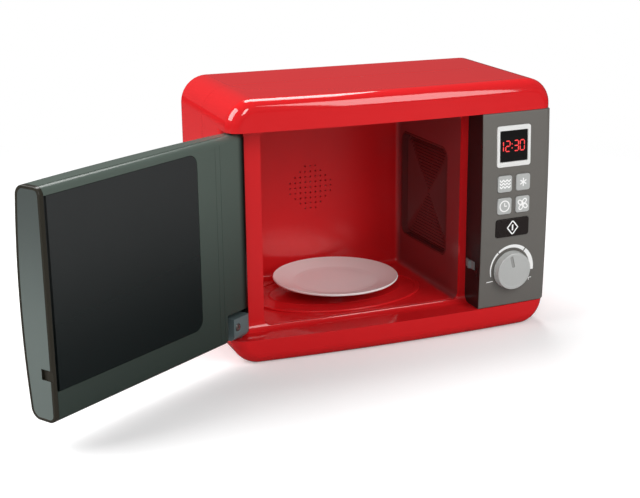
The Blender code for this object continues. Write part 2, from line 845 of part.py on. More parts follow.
def door_slice(from_u, to_u, inset):
    stops = [from_u] + [u for u in DOOR_STATIONS if from_u < u < to_u] + [to_u]
    return loft([door_ring(u, door_front_v(u), DOOR_BACK_V, inset) for u in stops])


HINGE_Y = FRONT_Y + HINGE_DEPTH
DOOR_PLACE = Matrix.Translation((HINGE_X, HINGE_Y, 0)) @ Matrix.Rotation(radians(-DOOR_OPEN), 4, "Z")
FAR_U = DOOR_L + OVERRUN
FAR_V = BARREL_R + OVERRUN


def build_front_housing():
    rings = [shell_ring(FRONT_Y + advance, inset) for inset, advance in arc_pairs(FRONT_FILLET)]
    rings.append(shell_ring(SEAM_Y - LAP_LENGTH, 0))
    rings.append(shell_ring(SEAM_Y - GAP / 2, 0))
    item = piece("front_housing", loft(rings), "red_shell")

    inner = [
        shell_ring(FRONT_Y + WALL + advance, WALL + inset)
        for inset, advance in arc_pairs(FRONT_FILLET - WALL)
    ]
    inner.append(shell_ring(SEAM_Y - LAP_LENGTH, WALL))
    inner.append(shell_ring(SEAM_Y - LAP_LENGTH, LAP_LIP))
    inner.append(shell_ring(SEAM_Y + OVERRUN, LAP_LIP))
    hollow = cut(item, loft(inner))
    cut(hollow, recess(WALL, HALF_W + OVERRUN))
    corner_x = (-HALF_W - OVERRUN, JAMB_POST - HALF_W)
    cut(hollow, block(corner_x, (JAMB_Y, JAMB_Y + JAMB_POST), (0, SHELL_H)))
    cut(item, recess(0, HALF_W + OVERRUN))

    edge_x = -HALF_W - OVERRUN
    middle = (JAMB_ROUND - HALF_W, JAMB_Y + JAMB_ROUND)
    turns = [pi / 2 * k / CORNER_STEPS for k in range(CORNER_STEPS + 1)]
    corners = [(edge_x, JAMB_Y - GAP), (middle[0], JAMB_Y - GAP)]
    corners += [(middle[0] - JAMB_ROUND * sin(q), middle[1] - JAMB_ROUND * cos(q)) for q in turns]
    corners.append((edge_x, middle[1]))
    cut(item, prism(corners, RECESS_LOW, RECESS_HIGH))

    cut(item, rod((HINGE_X, HINGE_Y, RECESS_LOW), (HINGE_X, HINGE_Y, RECESS_HIGH), POCKET_R, ROUND_SIDES))
    side_x = (edge_x, HINGE_X)
    side_y = (HINGE_Y - POCKET_R, HINGE_Y + POCKET_R)
    cut(item, block(side_x, side_y, (RECESS_LOW, RECESS_HIGH)))
    for level in (RECESS_LOW, RECESS_HIGH):
        ends = (HINGE_X, HINGE_Y, level - 2 * WALL), (HINGE_X, HINGE_Y, level + 2 * WALL)
        cut(item, rod(*ends, PIN_HOLE_R))

    cut(item, loft([oven_ring(JAMB_Y - OVERRUN, 0), oven_ring(JAMB_Y + OVERRUN, 0)]))
    wire_x = (WIRE_HOLE_X, WIRE_HOLE_X + WIRE_HOLE_W)
    wire_z = (WIRE_HOLE_Z, WIRE_HOLE_Z + WIRE_HOLE_H)
    cut(item, block(wire_x, (JAMB_Y - OVERRUN, JAMB_Y + OVERRUN), wire_z, BUTTON_CORNER, along_y))
    for x, z in PANEL_POSTS:
        cut(item, rod((x, JAMB_Y - OVERRUN, z), (x, JAMB_Y + OVERRUN, z), THROUGH_R))
    for x, z in SHELL_SCREWS:
        end_y = FRONT_Y + POST_END_DEPTH
        join(item, rod((x, JAMB_Y + WALL / 2, z), (x, end_y, z), POST_R))
        cut(item, rod((x, end_y - PILOT_DEEP, z), (x, end_y + OVERRUN, z), PILOT_R, HOLE_SIDES))
    return item


def build_rear_housing():
    tongue_y = SEAM_Y - LAP_LENGTH + GAP
    tongue_in = LAP_LIP + GAP
    bend_y = REAR_Y - REAR_FILLET
    box_bend_y = BOX_BACK_Y - BOX_ROUND
    rings = [
        rear_ring(tongue_y, tongue_in),
        rear_ring(SEAM_Y + GAP / 2, tongue_in),
        rear_ring(SEAM_Y + GAP / 2, 0),
        rear_ring(bend_y, 0),
    ]
    for inset, advance in reversed(arc_pairs(REAR_FILLET)[:-1]):
        rings.append(rear_ring(REAR_Y - advance, inset))
    rings.append(rear_ring(REAR_Y, BOX_INSET, BOX_CORNER))
    rings.append(rear_ring(box_bend_y, BOX_INSET, BOX_CORNER))
    for inset, advance in reversed(arc_pairs(BOX_ROUND)[:-1]):
        rings.append(rear_ring(BOX_BACK_Y - advance, BOX_INSET + inset, BOX_CORNER))
    item = piece("rear_housing", loft(rings), "red_shell")

    inner = [rear_ring(tongue_y - OVERRUN, WALL), rear_ring(bend_y, WALL)]
    for inset, advance in reversed(arc_pairs(REAR_FILLET - WALL)[:-1]):
        inner.append(rear_ring(REAR_Y - WALL - advance, WALL + inset))
    box_in = BOX_INSET + WALL
    box_corner = BOX_CORNER - WALL
    inner.append(rear_ring(REAR_Y - WALL, box_in, box_corner))
    inner.append(rear_ring(box_bend_y, box_in, box_corner))
    for inset, advance in reversed(arc_pairs(BOX_ROUND - WALL)[:-1]):
        inner.append(rear_ring(BOX_BACK_Y - WALL - advance, box_in + inset, box_corner))
    cut(item, loft(inner))

    for x, z in SHELL_SCREWS:
        floor_y = FRONT_Y + POST_END_DEPTH + GAP
        join(item, rod((x, floor_y, z), (x, REAR_Y - WALL / 2, z), WELL_R))
        cut(item, rod((x, floor_y + WELL_FLOOR, z), (x, REAR_Y + OVERRUN, z), WELL_BORE))
        cut(item, rod((x, floor_y - OVERRUN, z), (x, floor_y + OVERRUN, z), THROUGH_R, HOLE_SIDES))
    half = COVER_W / 2
    cover_x = (CELL_X - half, CELL_X + half)
    cover_y = (BOX_BACK_Y - WALL - OVERRUN, BOX_BACK_Y + OVERRUN)
    cut(item, block(cover_x, cover_y, (COVER_LOW, COVER_HIGH), COVER_CORNER, along_y))
    return item


def vent_place():
    slope = (OVEN_RIGHT - OVEN_RIGHT_BACK) / (OVEN_BEND_Y - JAMB_Y)
    y = FRONT_Y + VENT_DEPTH_Y
    x = OVEN_RIGHT - slope * (y - JAMB_Y)
    return Matrix.Translation((x, y, VENT_Z)) @ Matrix.Rotation(atan(slope), 4, "Z")


def vent_block(xs, spread, corner):
    half_w = VENT_W / 2 + spread
    half_h = VENT_H / 2 + spread
    return block(xs, (-half_w, half_w), (-half_h, half_h), corner, along_x)


def build_liner():
    start = JAMB_BACK_Y + GAP
    item = piece("cavity_liner", oven_solid(start, LINER_WALL), "red_oven")
    spread = LINER_WALL + LINER_FLANGE
    flange = loft([oven_ring(start, spread), oven_ring(start + LINER_WALL, spread)])
    join(item, flange)
    cut(item, oven_solid(start - OVERRUN, 0))
    cut(item, vent_block((-OVERRUN, OVERRUN), 0, VENT_CORNER), vent_place())
    holes = bmesh.new()
    for i in range(-SOUND_STEPS, SOUND_STEPS + 1):
        for j in range(-SOUND_STEPS, SOUND_STEPS + 1):
            if hypot(i, j) * SOUND_PITCH < SOUND_FIELD_R:
                x = SPEAKER_X + i * SOUND_PITCH
                z = SPEAKER_Z + j * SOUND_PITCH
                ends = (x, OVEN_BACK_Y - LINER_WALL, z), (x, OVEN_BACK_Y + 2 * LINER_WALL, z)
                rod(*ends, SOUND_HOLE_R, HOLE_SIDES, holes)
    cut(item, holes)
    y = FRONT_Y + TURN_DEPTH
    low = OVEN_FLOOR - LINER_WALL - OVERRUN
    cut(item, rod((TURN_X, y, low), (TURN_X, y, OVEN_FLOOR + OVERRUN), SPINDLE_BORE))
    return item


def build_vent_panel():
    place = vent_place()
    deep = VENT_DEEP + VENT_FLOOR
    item = piece("vent_panel", vent_block((0, deep), -GAP, VENT_CORNER - GAP), "red_oven", place)
    back = LINER_WALL + GAP
    join(item, vent_block((back, back + VENT_FLANGE_T), VENT_FLANGE, VENT_CORNER + VENT_FLANGE))
    inner_corner = VENT_CORNER - GAP - VENT_WALL
    cut(item, vent_block((-OVERRUN, VENT_DEEP), -GAP - VENT_WALL, inner_corner))

    half_w = VENT_W / 2 - GAP - VENT_WALL / 2
    half_h = VENT_H / 2 - GAP - VENT_WALL / 2
    levels = [(1, VENT_DEEP + VENT_FLOOR / 2)]
    for k in range(RIDGE_COUNT):
        levels.append((1 - k / RIDGE_COUNT, VENT_DEEP))
        levels.append((1 - (k + 1 / 2) / RIDGE_COUNT, VENT_DEEP - RIDGE_RISE))
    rings = []
    for share, x in levels:
        wide = half_w * share
        tall = half_h * share
        rings.append(along_x(rounded(-wide, wide, -tall, tall, inner_corner * share, 1, 1), x))
    join(item, loft(rings))
    return item


def build_turntable():
    y = FRONT_Y + TURN_DEPTH
    low = OVEN_FLOOR + GAP
    rim_z = low + PAN_RIM_H
    chamfer = PAN_FLOOR_T / 2
    rings = [
        along_z(oval(TURN_X, y, PAN_HALF_W, PAN_HALF_D), low),
        along_z(oval(TURN_X, y, PAN_HALF_W, PAN_HALF_D), rim_z - chamfer),
        along_z(oval(TURN_X, y, PAN_HALF_W - chamfer, PAN_HALF_D - chamfer), rim_z),
    ]
    pan = piece("floor_pan", loft(rings), "red_oven")
    inner_w = PAN_HALF_W - PAN_RIM_W
    inner_d = PAN_HALF_D - PAN_RIM_W
    dish = [
        along_z(oval(TURN_X, y, inner_w, inner_d), low + PAN_FLOOR_T),
        along_z(oval(TURN_X, y, inner_w + chamfer, inner_d + chamfer), rim_z + chamfer),
    ]
    cut(pan, loft(dish))
    cut(pan, rod((TURN_X, y, low - OVERRUN), (TURN_X, y, low + OVERRUN), SPINDLE_BORE))

    place = Matrix.Translation((TURN_X, y, 0))
    profile = (
        (0, SPINDLE_LOW),
        (SPINDLE_R, SPINDLE_LOW),
        (SPINDLE_R, HUB_LOW),
        (HUB_R, HUB_LOW),
        (HUB_R, HUB_LOW + HUB_T),
        (0, HUB_LOW + HUB_T),
    )
    spindle = piece("turntable_spindle", turned(profile, SMALL_SIDES), "black_plastic", place)
    join(spindle, rod((0, 0, HUB_LOW + HUB_T / 2), (0, 0, SPINDLE_TOP), SPINDLE_R, 6))

    foot = HUB_LOW + HUB_T + GAP
    rise = PLATE_R - PLATE_BED_R
    lip = PLATE_T / 4
    profile = (
        (0, PLATE_BED_Z),
        (PLATE_BED_R - lip, PLATE_BED_Z),
        (PLATE_BED_R + rise / 4, PLATE_BED_Z + lip),
        (PLATE_BED_R + rise * 3 / 4, PLATE_RIM_Z - 3 * lip),
        (PLATE_R - lip, PLATE_RIM_Z),
        (PLATE_R, PLATE_RIM_Z - lip),
        (PLATE_R - lip, PLATE_RIM_Z - PLATE_T + lip),
        (PLATE_BED_R + rise / 4, PLATE_BED_Z - PLATE_T + lip),
        (PLATE_BED_R, PLATE_BED_Z - PLATE_T),
        (PLATE_BOSS_R, PLATE_BED_Z - PLATE_T),
        (PLATE_BOSS_R, foot),
        (0, foot),
    )
    plate = piece("turntable_plate", turned(profile, FINE_SIDES), "white_plate", place)
    cut(plate, rod((0, 0, foot - OVERRUN), (0, 0, SPINDLE_TOP + GAP), SPINDLE_R + 2 * GAP, 6))

    top = OVEN_FLOOR - LINER_WALL - GAP
    xs = (TURN_X - GEAR_HALF_W, TURN_X + GEAR_HALF_W)
    ys = (y - GEAR_HALF_D, y + GEAR_HALF_D)
    case = piece("gearbox_case", block(xs, ys, (GEAR_LOW, top), GEAR_ROUND), "black_plastic")
    cut(case, rod((TURN_X, y, SPINDLE_LOW - GAP), (TURN_X, y, top + OVERRUN), SPINDLE_BORE))
    start = xs[1] + GAP
    motor = rod((start, y, MOTOR_Z), (start + MOTOR_L, y, MOTOR_Z), MOTOR_R)
    piece("drive_motor", motor, "screw_steel")


def build_speaker():
    cone = SPEAKER_DEEP / 3
    profile = (
        (0, cone),
        (SPEAKER_MAGNET_R / 2, cone),
        (SPEAKER_CONE_R, SPEAKER_RIM / 2),
        (SPEAKER_CONE_R, 0),
        (SPEAKER_R, 0),
        (SPEAKER_R, SPEAKER_RIM),
        (SPEAKER_MAGNET_R, SPEAKER_DEEP / 2),
        (SPEAKER_MAGNET_R, SPEAKER_DEEP),
        (0, SPEAKER_DEEP),
    )
    face = Vector((SPEAKER_X, OVEN_BACK_Y + LINER_WALL + GAP, SPEAKER_Z))
    place = Matrix.Translation(face) @ Matrix.Rotation(-pi / 2, 4, "X")
    piece("speaker", turned(profile), "black_plastic", place)


def face_block(width, height, low, high, corner=0):
    """A block in a panel frame, centred on its origin."""
    return block((-width / 2, width / 2), (-height / 2, height / 2), (low, high), corner)


def build_panel():
    item = piece("control_panel", panel_solid(0, PANEL_BACK_Y), "dark_panel")
    cut(item, panel_solid(PANEL_WALL, PANEL_BACK_Y + OVERRUN))

    frame = face_frame(WINDOW_X, WINDOW_Z)
    skirt = 2 * FRAME_SKIRT
    opening = face_block(FRAME_W - skirt, FRAME_H - skirt, -OVERRUN, OVERRUN, FRAME_CORNER)
    cut(item, opening, frame)
    sink = face_block(FRAME_W + 2 * GAP, FRAME_H + 2 * GAP, -FRAME_SKIRT_T, OVERRUN, FRAME_CORNER + GAP)
    cut(item, sink, frame)
    for _, x, z, width, height in BUTTONS:
        hole = face_block(width + 2 * GAP, height + 2 * GAP, -OVERRUN, OVERRUN, BUTTON_CORNER + GAP)
        cut(item, hole, face_frame(x, z))
    knob = face_frame(KNOB_X, KNOB_Z)
    cut(item, rod((0, 0, -OVERRUN / 2), (0, 0, OVERRUN), SHAFT_R + GAP), knob)

    left_x = (PANEL_LEFT - OVERRUN, PANEL_LEFT + OVERRUN / 2)
    slot_y = (FRONT_Y + LATCH_FRONT - GAP, FRONT_Y + LATCH_REAR + GAP)
    cut(item, block(left_x, slot_y, (LATCH_LOW - GAP, LATCH_HIGH + GAP)))

    board_y = FRONT_Y + BOARD_DEPTH - GAP
    for x, z in BOARD_POSTS:
        root_y = panel_front(x, z) + PANEL_WALL / 2
        join(item, rod((x, root_y, z), (x, board_y, z), BOARD_POST_R))
        cut(item, rod((x, board_y - BOARD_SCREW_L, z), (x, board_y + OVERRUN, z), PILOT_R, HOLE_SIDES))
    for x, z in PANEL_POSTS:
        root_y = panel_front(x, z) + PANEL_WALL / 2
        join(item, rod((x, root_y, z), (x, PANEL_BACK_Y, z), PANEL_POST_R))
        start_y = PANEL_BACK_Y - PANEL_SCREW_L
        cut(item, rod((x, start_y, z), (x, PANEL_BACK_Y + OVERRUN, z), PILOT_R, HOLE_SIDES))
    return item


def build_display():
    frame = face_frame(WINDOW_X, WINDOW_Z)
    bezel_low = GAP - FRAME_SKIRT_T
    trim = face_block(FRAME_W, FRAME_H, bezel_low, FRAME_RISE, FRAME_CORNER)
    item = piece("display_frame", trim, "pale_trim", frame)
    skirt = 2 * (FRAME_SKIRT + GAP)
    skirt_low = -PANEL_WALL - FRAME_SKIRT_T
    join(item, face_block(FRAME_W - skirt, FRAME_H - skirt, skirt_low, 0, FRAME_CORNER))
    cut(item, face_block(LENS_W + 2 * GAP, LENS_H + 2 * GAP, -LENS_T - LENS_SINK - GAP, OVERRUN))
    ledge = 4 * FRAME_CORNER / 5
    cut(item, face_block(LENS_W - ledge, LENS_H - ledge, -OVERRUN, OVERRUN))
    lens = face_block(LENS_W, LENS_H, -LENS_T - LENS_SINK, -LENS_SINK)
    piece("display_lens", lens, "black_window", frame)
    top = skirt_low - GAP
    piece("display_module", face_block(MODULE_W, MODULE_H, top - MODULE_T, top), "black_plastic", frame)


def build_buttons():
    board_y = FRONT_Y + BOARD_DEPTH
    pad_y = board_y - GAP - PAD_T
    pad_ys = (pad_y, board_y - GAP)
    pad = block((PAD_LEFT, PAD_RIGHT), pad_ys, (PAD_LOW, PAD_HIGH), BUTTON_CORNER, along_y)
    keypad = piece("button_keypad", pad, "grey_rubber")
    flange_top = -PANEL_WALL - GAP
    flange_low = flange_top - BUTTON_FLANGE_T
    for name, x, z, width, height in BUTTONS:
        place = face_frame(x, z)
        spread = 2 * BUTTON_FLANGE
        edge = BUTTON_EDGE
        wide = rounded(-width / 2, width / 2, -height / 2, height / 2, BUTTON_CORNER)
        small = rounded(
            edge - width / 2,
            width / 2 - edge,
            edge - height / 2,
            height / 2 - edge,
            BUTTON_CORNER - edge,
        )
        cap = loft(
            [
                along_z(wide, (flange_top + flange_low) / 2),
                along_z(wide, BUTTON_RISE - edge),
                along_z(small, BUTTON_RISE),
            ]
        )
        item = piece(name, cap, "black_key" if name == "start_button" else "silver_keys", place)
        join(item, face_block(width + spread, height + spread, flange_low, flange_top))
        touch = place @ Vector((0, 0, flange_low - BUTTON_TRAVEL - GAP))
        join(keypad, rod((x, touch.y, z), (x, pad_y + PAD_T / 2, z), DOME_R, HOLE_SIDES))


def build_board():
    y0 = FRONT_Y + BOARD_DEPTH
    y1 = y0 + BOARD_T
    shape = block((BOARD_LEFT, BOARD_RIGHT), (y0, y1), (BOARD_LOW, BOARD_HIGH))
    item = piece("circuit_board", shape, "green_board")
    for k, (x, z) in enumerate(BOARD_POSTS):
        cut(item, rod((x, y0 - OVERRUN, z), (x, y1 + OVERRUN, z), THROUGH_R))
        head_y = y1 + GAP + HEAD_T
        screw(f"board_screw_{k + 1}", (x, head_y, z), (0, -1, 0), BOARD_SCREW_L)
    for k, (x, z) in enumerate(PANEL_POSTS):
        head_y = JAMB_BACK_Y + GAP + HEAD_T
        screw(f"panel_screw_{k + 1}", (x, head_y, z), (0, -1, 0), PANEL_SCREW_L)


def build_knob():
    frame = face_frame(KNOB_X, KNOB_Z)
    low = KNOB_FLOAT
    top = low + KNOB_H
    profile = (
        (0, low),
        (KNOB_R, low),
        (KNOB_FACE_R, top - KNOB_EDGE),
        (KNOB_FACE_R - KNOB_EDGE, top),
        (0, top),
    )
    item = piece("timer_knob", turned(profile, FINE_SIDES), "silver_knob", frame)
    cut(item, rod((0, 0, low - OVERRUN), (0, 0, low + KNOB_BORE_DEEP), SHAFT_R + GAP))
    half = POINTER_W / 2
    groove_zs = (top - POINTER_DEEP, top + OVERRUN)
    groove = block((-half, half), (POINTER_FROM, POINTER_TO), groove_zs, half * 9 / 10)
    cut(item, groove, frame @ Matrix.Rotation(radians(POINTER_TURN), 4, "Z"))

    collar_top = -PANEL_WALL - 2 * GAP
    profile = (
        (0, -SHAFT_IN),
        (SHAFT_R, -SHAFT_IN),
        (SHAFT_R, collar_top - COLLAR_T),
        (COLLAR_R, collar_top - COLLAR_T),
        (COLLAR_R, collar_top),
        (SHAFT_R, collar_top),
        (SHAFT_R, low + KNOB_BORE_DEEP - GAP),
        (0, low + KNOB_BORE_DEEP - GAP),
    )
    piece("timer_shaft", turned(profile, SMALL_SIDES), "black_plastic", frame)
    case_top = collar_top - COLLAR_T - GAP
    case = face_block(TIMER_W, TIMER_W, case_top - TIMER_T, case_top)
    timer = piece("timer_switch", case, "black_plastic", frame)
    cut(timer, rod((0, 0, -SHAFT_IN - GAP), (0, 0, OVERRUN), SHAFT_R + GAP))


def build_latch():
    ys = [FRONT_Y + depth for depth in NOSE_DEPTHS]
    face_x = PANEL_LEFT - LATCH_RISE
    nose_x = PANEL_LEFT - NOSE_RISE
    back_x = PANEL_LEFT + PANEL_WALL + GAP
    front_y = FRONT_Y + LATCH_FRONT
    rear_y = FRONT_Y + LATCH_REAR
    root_x = back_x + LATCH_FLANGE_T / 2
    outline = [
        (root_x, front_y),
        (face_x, front_y),
        (face_x, ys[0]),
        (nose_x, ys[1]),
        (nose_x, ys[2]),
        (face_x, ys[3]),
        (face_x, rear_y),
        (root_x, rear_y),
    ]
    middle = Vector((PANEL_LEFT, (front_y + rear_y) / 2, (LATCH_LOW + LATCH_HIGH) / 2))
    place = Matrix.Translation(middle)
    back_to = place.inverted()
    body = prism(outline, LATCH_LOW, LATCH_HIGH)
    bmesh.ops.transform(body, matrix=back_to, verts=body.verts)
    item = piece("latch_tongue", body, "grey_latch", place)
    flange_y = (front_y - LATCH_FLANGE, rear_y + LATCH_FLANGE)
    flange_z = (LATCH_LOW - LATCH_FLANGE, LATCH_HIGH + LATCH_FLANGE)
    flange = block((back_x, back_x + LATCH_FLANGE_T), flange_y, flange_z)
    join(item, flange, Matrix.Identity(4))

    case_y = (flange_y[0] - GAP - GUIDE_WALL, flange_y[1] + GAP)
    case_z = (flange_z[0] - GAP - GUIDE_WALL, flange_z[1] + GAP + GUIDE_WALL)
    case = piece("latch_guide", block((back_x, back_x + GUIDE_DEEP), case_y, case_z), "black_plastic")
    room_y = (flange_y[0] - GAP, flange_y[1] + OVERRUN)
    room_z = (flange_z[0] - GAP, flange_z[1] + GAP)
    cut(case, block((back_x - OVERRUN, back_x + GUIDE_DEEP - GUIDE_WALL), room_y, room_z))


def build_door():
    item = piece("door_shell", door_solid(SHELL_END_U), "smoky_door", DOOR_PLACE)
    hollow_to = FAR_U
    cut(item, door_slice(HOLLOW_FROM_U, hollow_to, DOOR_WALL))
    far_z = (-OVERRUN, SHELL_H)
    split = DOOR_SPLIT_V - GAP / 2
    cut(item, block((-FAR_V, FAR_U), (split, FAR_V), far_z))
    notch_u = (BLOCK_U[0] - GAP, NOTCH_TO_U)
    notch_v = (BLOCK_V - GAP, FAR_V)
    notch = (notch_u, notch_v, (-OVERRUN, NOTCH_HIGH))
    cut(item, block(*notch))
    join(item, rod((0, 0, DOOR_HIGH - PIN_ROOT), (0, 0, RECESS_HIGH + PIN_REACH), PIN_R))
    pilot_low = (BLOCK_SCREW_U, DOOR_BACK_V - BLOCK_SCREW_L - GAP, BLOCK_SCREW_Z)
    cut(item, rod(pilot_low, (BLOCK_SCREW_U, FAR_V, BLOCK_SCREW_Z), PILOT_R))

    inner = piece("door_inner_panel", door_solid(SHELL_END_U), "smoky_door", DOOR_PLACE)
    cut(inner, door_slice(HOLLOW_FROM_U, hollow_to, DOOR_WALL))
    split = DOOR_SPLIT_V + GAP / 2
    cut(inner, block((-FAR_V, FAR_U), (-FAR_V - OVERRUN, split), far_z))
    cut(inner, block(*notch))
    us = (WINDOW_FROM_U, FAR_U + OVERRUN)
    cut(inner, block(us, (0, FAR_V), (WINDOW_LOW, WINDOW_HIGH), WINDOW_CORNER, along_y))

    face_v = DOOR_BACK_V - GAP / 2
    step_v = face_v - WINDOW_T
    lip_v = step_v - WINDOW_LIP_T
    clear = GAP
    us = (WINDOW_FROM_U + clear, FAR_U)
    zs = (WINDOW_LOW + clear, WINDOW_HIGH - clear)
    plate = block(us, (step_v - WINDOW_LIP_T / 2, face_v), zs, WINDOW_CORNER - clear, along_y)
    window = piece("door_window", plate, "black_window", DOOR_PLACE)
    cut(window, block((WINDOW_TO_U, FAR_U + OVERRUN), (-FAR_V, FAR_V), far_z))
    us = (WINDOW_FROM_U - WINDOW_LIP, FAR_U)
    zs = (WINDOW_LOW - WINDOW_LIP, WINDOW_HIGH + WINDOW_LIP_TOP)
    lip = join(window, block(us, (lip_v, step_v), zs, WINDOW_CORNER, along_y))
    cut(lip, block((SHELL_END_U, FAR_U + OVERRUN), (-FAR_V, FAR_V), far_z))

    cap = piece("door_end_cap", door_slice(CAP_U, DOOR_L, 0), "smoky_cap", DOOR_PLACE)
    for zs in CAP_TAB_Z:
        join(cap, block((CAP_TAB_U, CAP_U + END_CAP_T / 2), CAP_TAB_V, zs))
    slot_v = [depth - HINGE_DEPTH for depth in SLOT_DEPTHS]
    zs = (LATCH_LOW - SLOT_MARGIN, LATCH_HIGH + SLOT_MARGIN)
    cut(cap, block((DOOR_L - CHANNEL_DEEP, FAR_U), (sum(slot_v) / 2, FAR_V), zs))
    cut(cap, block((DOOR_L - SLOT_DEEP, FAR_U), slot_v, zs))

    stub = block(BLOCK_U, (BLOCK_V, DOOR_BACK_V + BLOCK_PROUD), (BLOCK_LOW, BLOCK_HIGH))
    foot = piece("hinge_block", stub, "grey_latch", DOOR_PLACE)
    keep(foot, door_solid(SHELL_END_U))
    join(foot, rod((0, 0, RECESS_LOW - PIN_REACH), (0, 0, BLOCK_LOW + PIN_ROOT / 2), PIN_R))
    mouth = (BLOCK_SCREW_U, DOOR_BACK_V - HEAD_T, BLOCK_SCREW_Z)
    cut(foot, rod(mouth, (BLOCK_SCREW_U, FAR_V, BLOCK_SCREW_Z), HEAD_R + HEAD_CLEAR))
    back = (BLOCK_SCREW_U, -FAR_V, BLOCK_SCREW_Z)
    cut(foot, rod(back, (BLOCK_SCREW_U, FAR_V, BLOCK_SCREW_Z), THROUGH_R))
    head = DOOR_PLACE @ Vector((BLOCK_SCREW_U, DOOR_BACK_V + GAP, BLOCK_SCREW_Z))
    way = DOOR_PLACE.to_3x3() @ Vector((0, -1, 0))
    screw("hinge_block_screw", head, way, BLOCK_SCREW_L)


def build_shell_screws():
    for k, (x, z) in enumerate(SHELL_SCREWS):
        head_y = FRONT_Y + POST_END_DEPTH + GAP + WELL_FLOOR + GAP + HEAD_T
        screw(f"shell_screw_{k + 1}", (x, head_y, z), (0, -1, 0), SHELL_SCREW_L)


def build_battery():
    half = TRAY_W / 2
    rear = BOX_BACK_Y - WALL - GAP
    floor_y = FRONT_Y + TRAY_DEPTH
    wall = TRAY_WALL
    outer_x = (CELL_X - half - wall, CELL_X + half + wall)
    outer_z = (TRAY_LOW - wall, TRAY_HIGH + wall)
    item = piece("battery_box", block(outer_x, (floor_y - wall, rear), outer_z), "black_plastic")
    flange_x = (CELL_X - COVER_W / 2 - TRAY_FLANGE / 2, CELL_X + COVER_W / 2 + TRAY_FLANGE / 2)
    flange_z = (COVER_LOW - TRAY_FLANGE, COVER_HIGH + TRAY_FLANGE)
    join(item, block(flange_x, (rear - wall, rear), flange_z))
    boss = ((CELL_X, rear - COVER_BOSS_L, COVER_SCREW_Z), (CELL_X, rear - wall / 2, COVER_SCREW_Z))
    join(item, rod(*boss, COVER_BOSS_R))
    cut(item, block((CELL_X - half, CELL_X + half), (floor_y, rear + OVERRUN), (TRAY_LOW, TRAY_HIGH)))
    pilot = (CELL_X, rear - COVER_SCREW_L, COVER_SCREW_Z), (CELL_X, rear + OVERRUN, COVER_SCREW_Z)
    cut(item, rod(*pilot, PILOT_R, HOLE_SIDES))

    y = FRONT_Y + CELL_DEPTH
    for k in range(3):
        x = CELL_X + (k - 1) * CELL_PITCH
        body_high = CELL_LOW + CELL_L - CELL_TIP
        cell = piece(
            f"battery_cell_{k + 1}",
            rod((x, y, CELL_LOW), (x, y, body_high), CELL_R, SMALL_SIDES),
            "cell_sleeve",
        )
        tip = (x, y, body_high - CELL_TIP), (x, y, body_high + CELL_TIP)
        join(cell, rod(*tip, CELL_TIP_R, HOLE_SIDES))

    half = COVER_W / 2 - GAP
    zs = (COVER_LOW + GAP, COVER_HIGH - GAP)
    ys = (BOX_BACK_Y - COVER_T, BOX_BACK_Y)
    cover = block((CELL_X - half, CELL_X + half), ys, zs, COVER_CORNER, along_y)
    lid = piece("battery_cover", cover, "red_shell")
    cut(
        lid,
        rod(
            (CELL_X, BOX_BACK_Y - COVER_SINK, COVER_SCREW_Z),
            (CELL_X, BOX_BACK_Y + OVERRUN, COVER_SCREW_Z),
            HEAD_R + HEAD_CLEAR,
        ),
    )
    through = (CELL_X, BOX_BACK_Y - OVERRUN, COVER_SCREW_Z), (CELL_X, BOX_BACK_Y + OVERRUN, COVER_SCREW_Z)
    cut(lid, rod(*through, THROUGH_R, HOLE_SIDES))
    head_y = BOX_BACK_Y - COVER_SINK + GAP + HEAD_T
    screw("battery_cover_screw", (CELL_X, head_y, COVER_SCREW_Z), (0, -1, 0), COVER_SCREW_L)


build_front_housing()
build_rear_housing()
build_liner()
build_vent_panel()
build_turntable()
build_speaker()
build_panel()
build_display()
build_buttons()
build_board()
build_knob()
build_latch()
build_door()
build_shell_screws()
build_battery()
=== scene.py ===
import math
import bmesh
import bpy
from mathutils import Matrix, Vector


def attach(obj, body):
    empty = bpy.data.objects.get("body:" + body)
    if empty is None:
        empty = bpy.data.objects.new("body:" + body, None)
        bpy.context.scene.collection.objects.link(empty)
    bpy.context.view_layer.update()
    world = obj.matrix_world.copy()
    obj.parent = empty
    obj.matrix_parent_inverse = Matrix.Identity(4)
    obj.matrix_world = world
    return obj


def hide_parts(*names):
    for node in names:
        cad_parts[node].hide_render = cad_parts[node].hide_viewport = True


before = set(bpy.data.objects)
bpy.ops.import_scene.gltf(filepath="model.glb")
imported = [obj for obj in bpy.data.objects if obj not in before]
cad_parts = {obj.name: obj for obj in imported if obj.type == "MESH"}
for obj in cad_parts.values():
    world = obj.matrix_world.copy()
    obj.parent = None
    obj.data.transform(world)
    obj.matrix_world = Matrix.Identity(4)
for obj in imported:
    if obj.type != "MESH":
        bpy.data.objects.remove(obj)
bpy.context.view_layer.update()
print("frame loaded:", len(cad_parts), "nodes")

# Sizes that several pieces share, in metres. The front faces -Y and Z is up.
toy = {
    "halfWidth": 0.155,
    "height": 0.235,
    "frontY": -0.0765,
    "seamY": 0.0064,
    "rearY": 0.0765,
    "corner": 0.0245,
    "wall": 0.0025,
    "bow": 0.0066,
    "bowEndY": 0.0024,
    "bowRun": 0.0679,
    "gap": 0.0003,
    "recessLow": 0.02365,
    "recessHigh": 0.2076,
    "jambY": -0.0467,
}
hinge = {"x": -0.1462, "y": -0.0565, "open": 147}
printLift = 0.00005


def clearSelection():
    if bpy.context.object and bpy.context.object.mode != "OBJECT":
        bpy.ops.object.mode_set(mode="OBJECT")
    bpy.ops.object.select_all(action="DESELECT")


def pick(piece):
    clearSelection()
    piece.select_set(True)
    bpy.context.view_layer.objects.active = piece
    return piece


def addObject(name, data):
    piece = bpy.data.objects.new(name, data)
    bpy.context.scene.collection.objects.link(piece)
    return piece


def removeObject(item):
    pick(item)
    bpy.ops.object.delete()


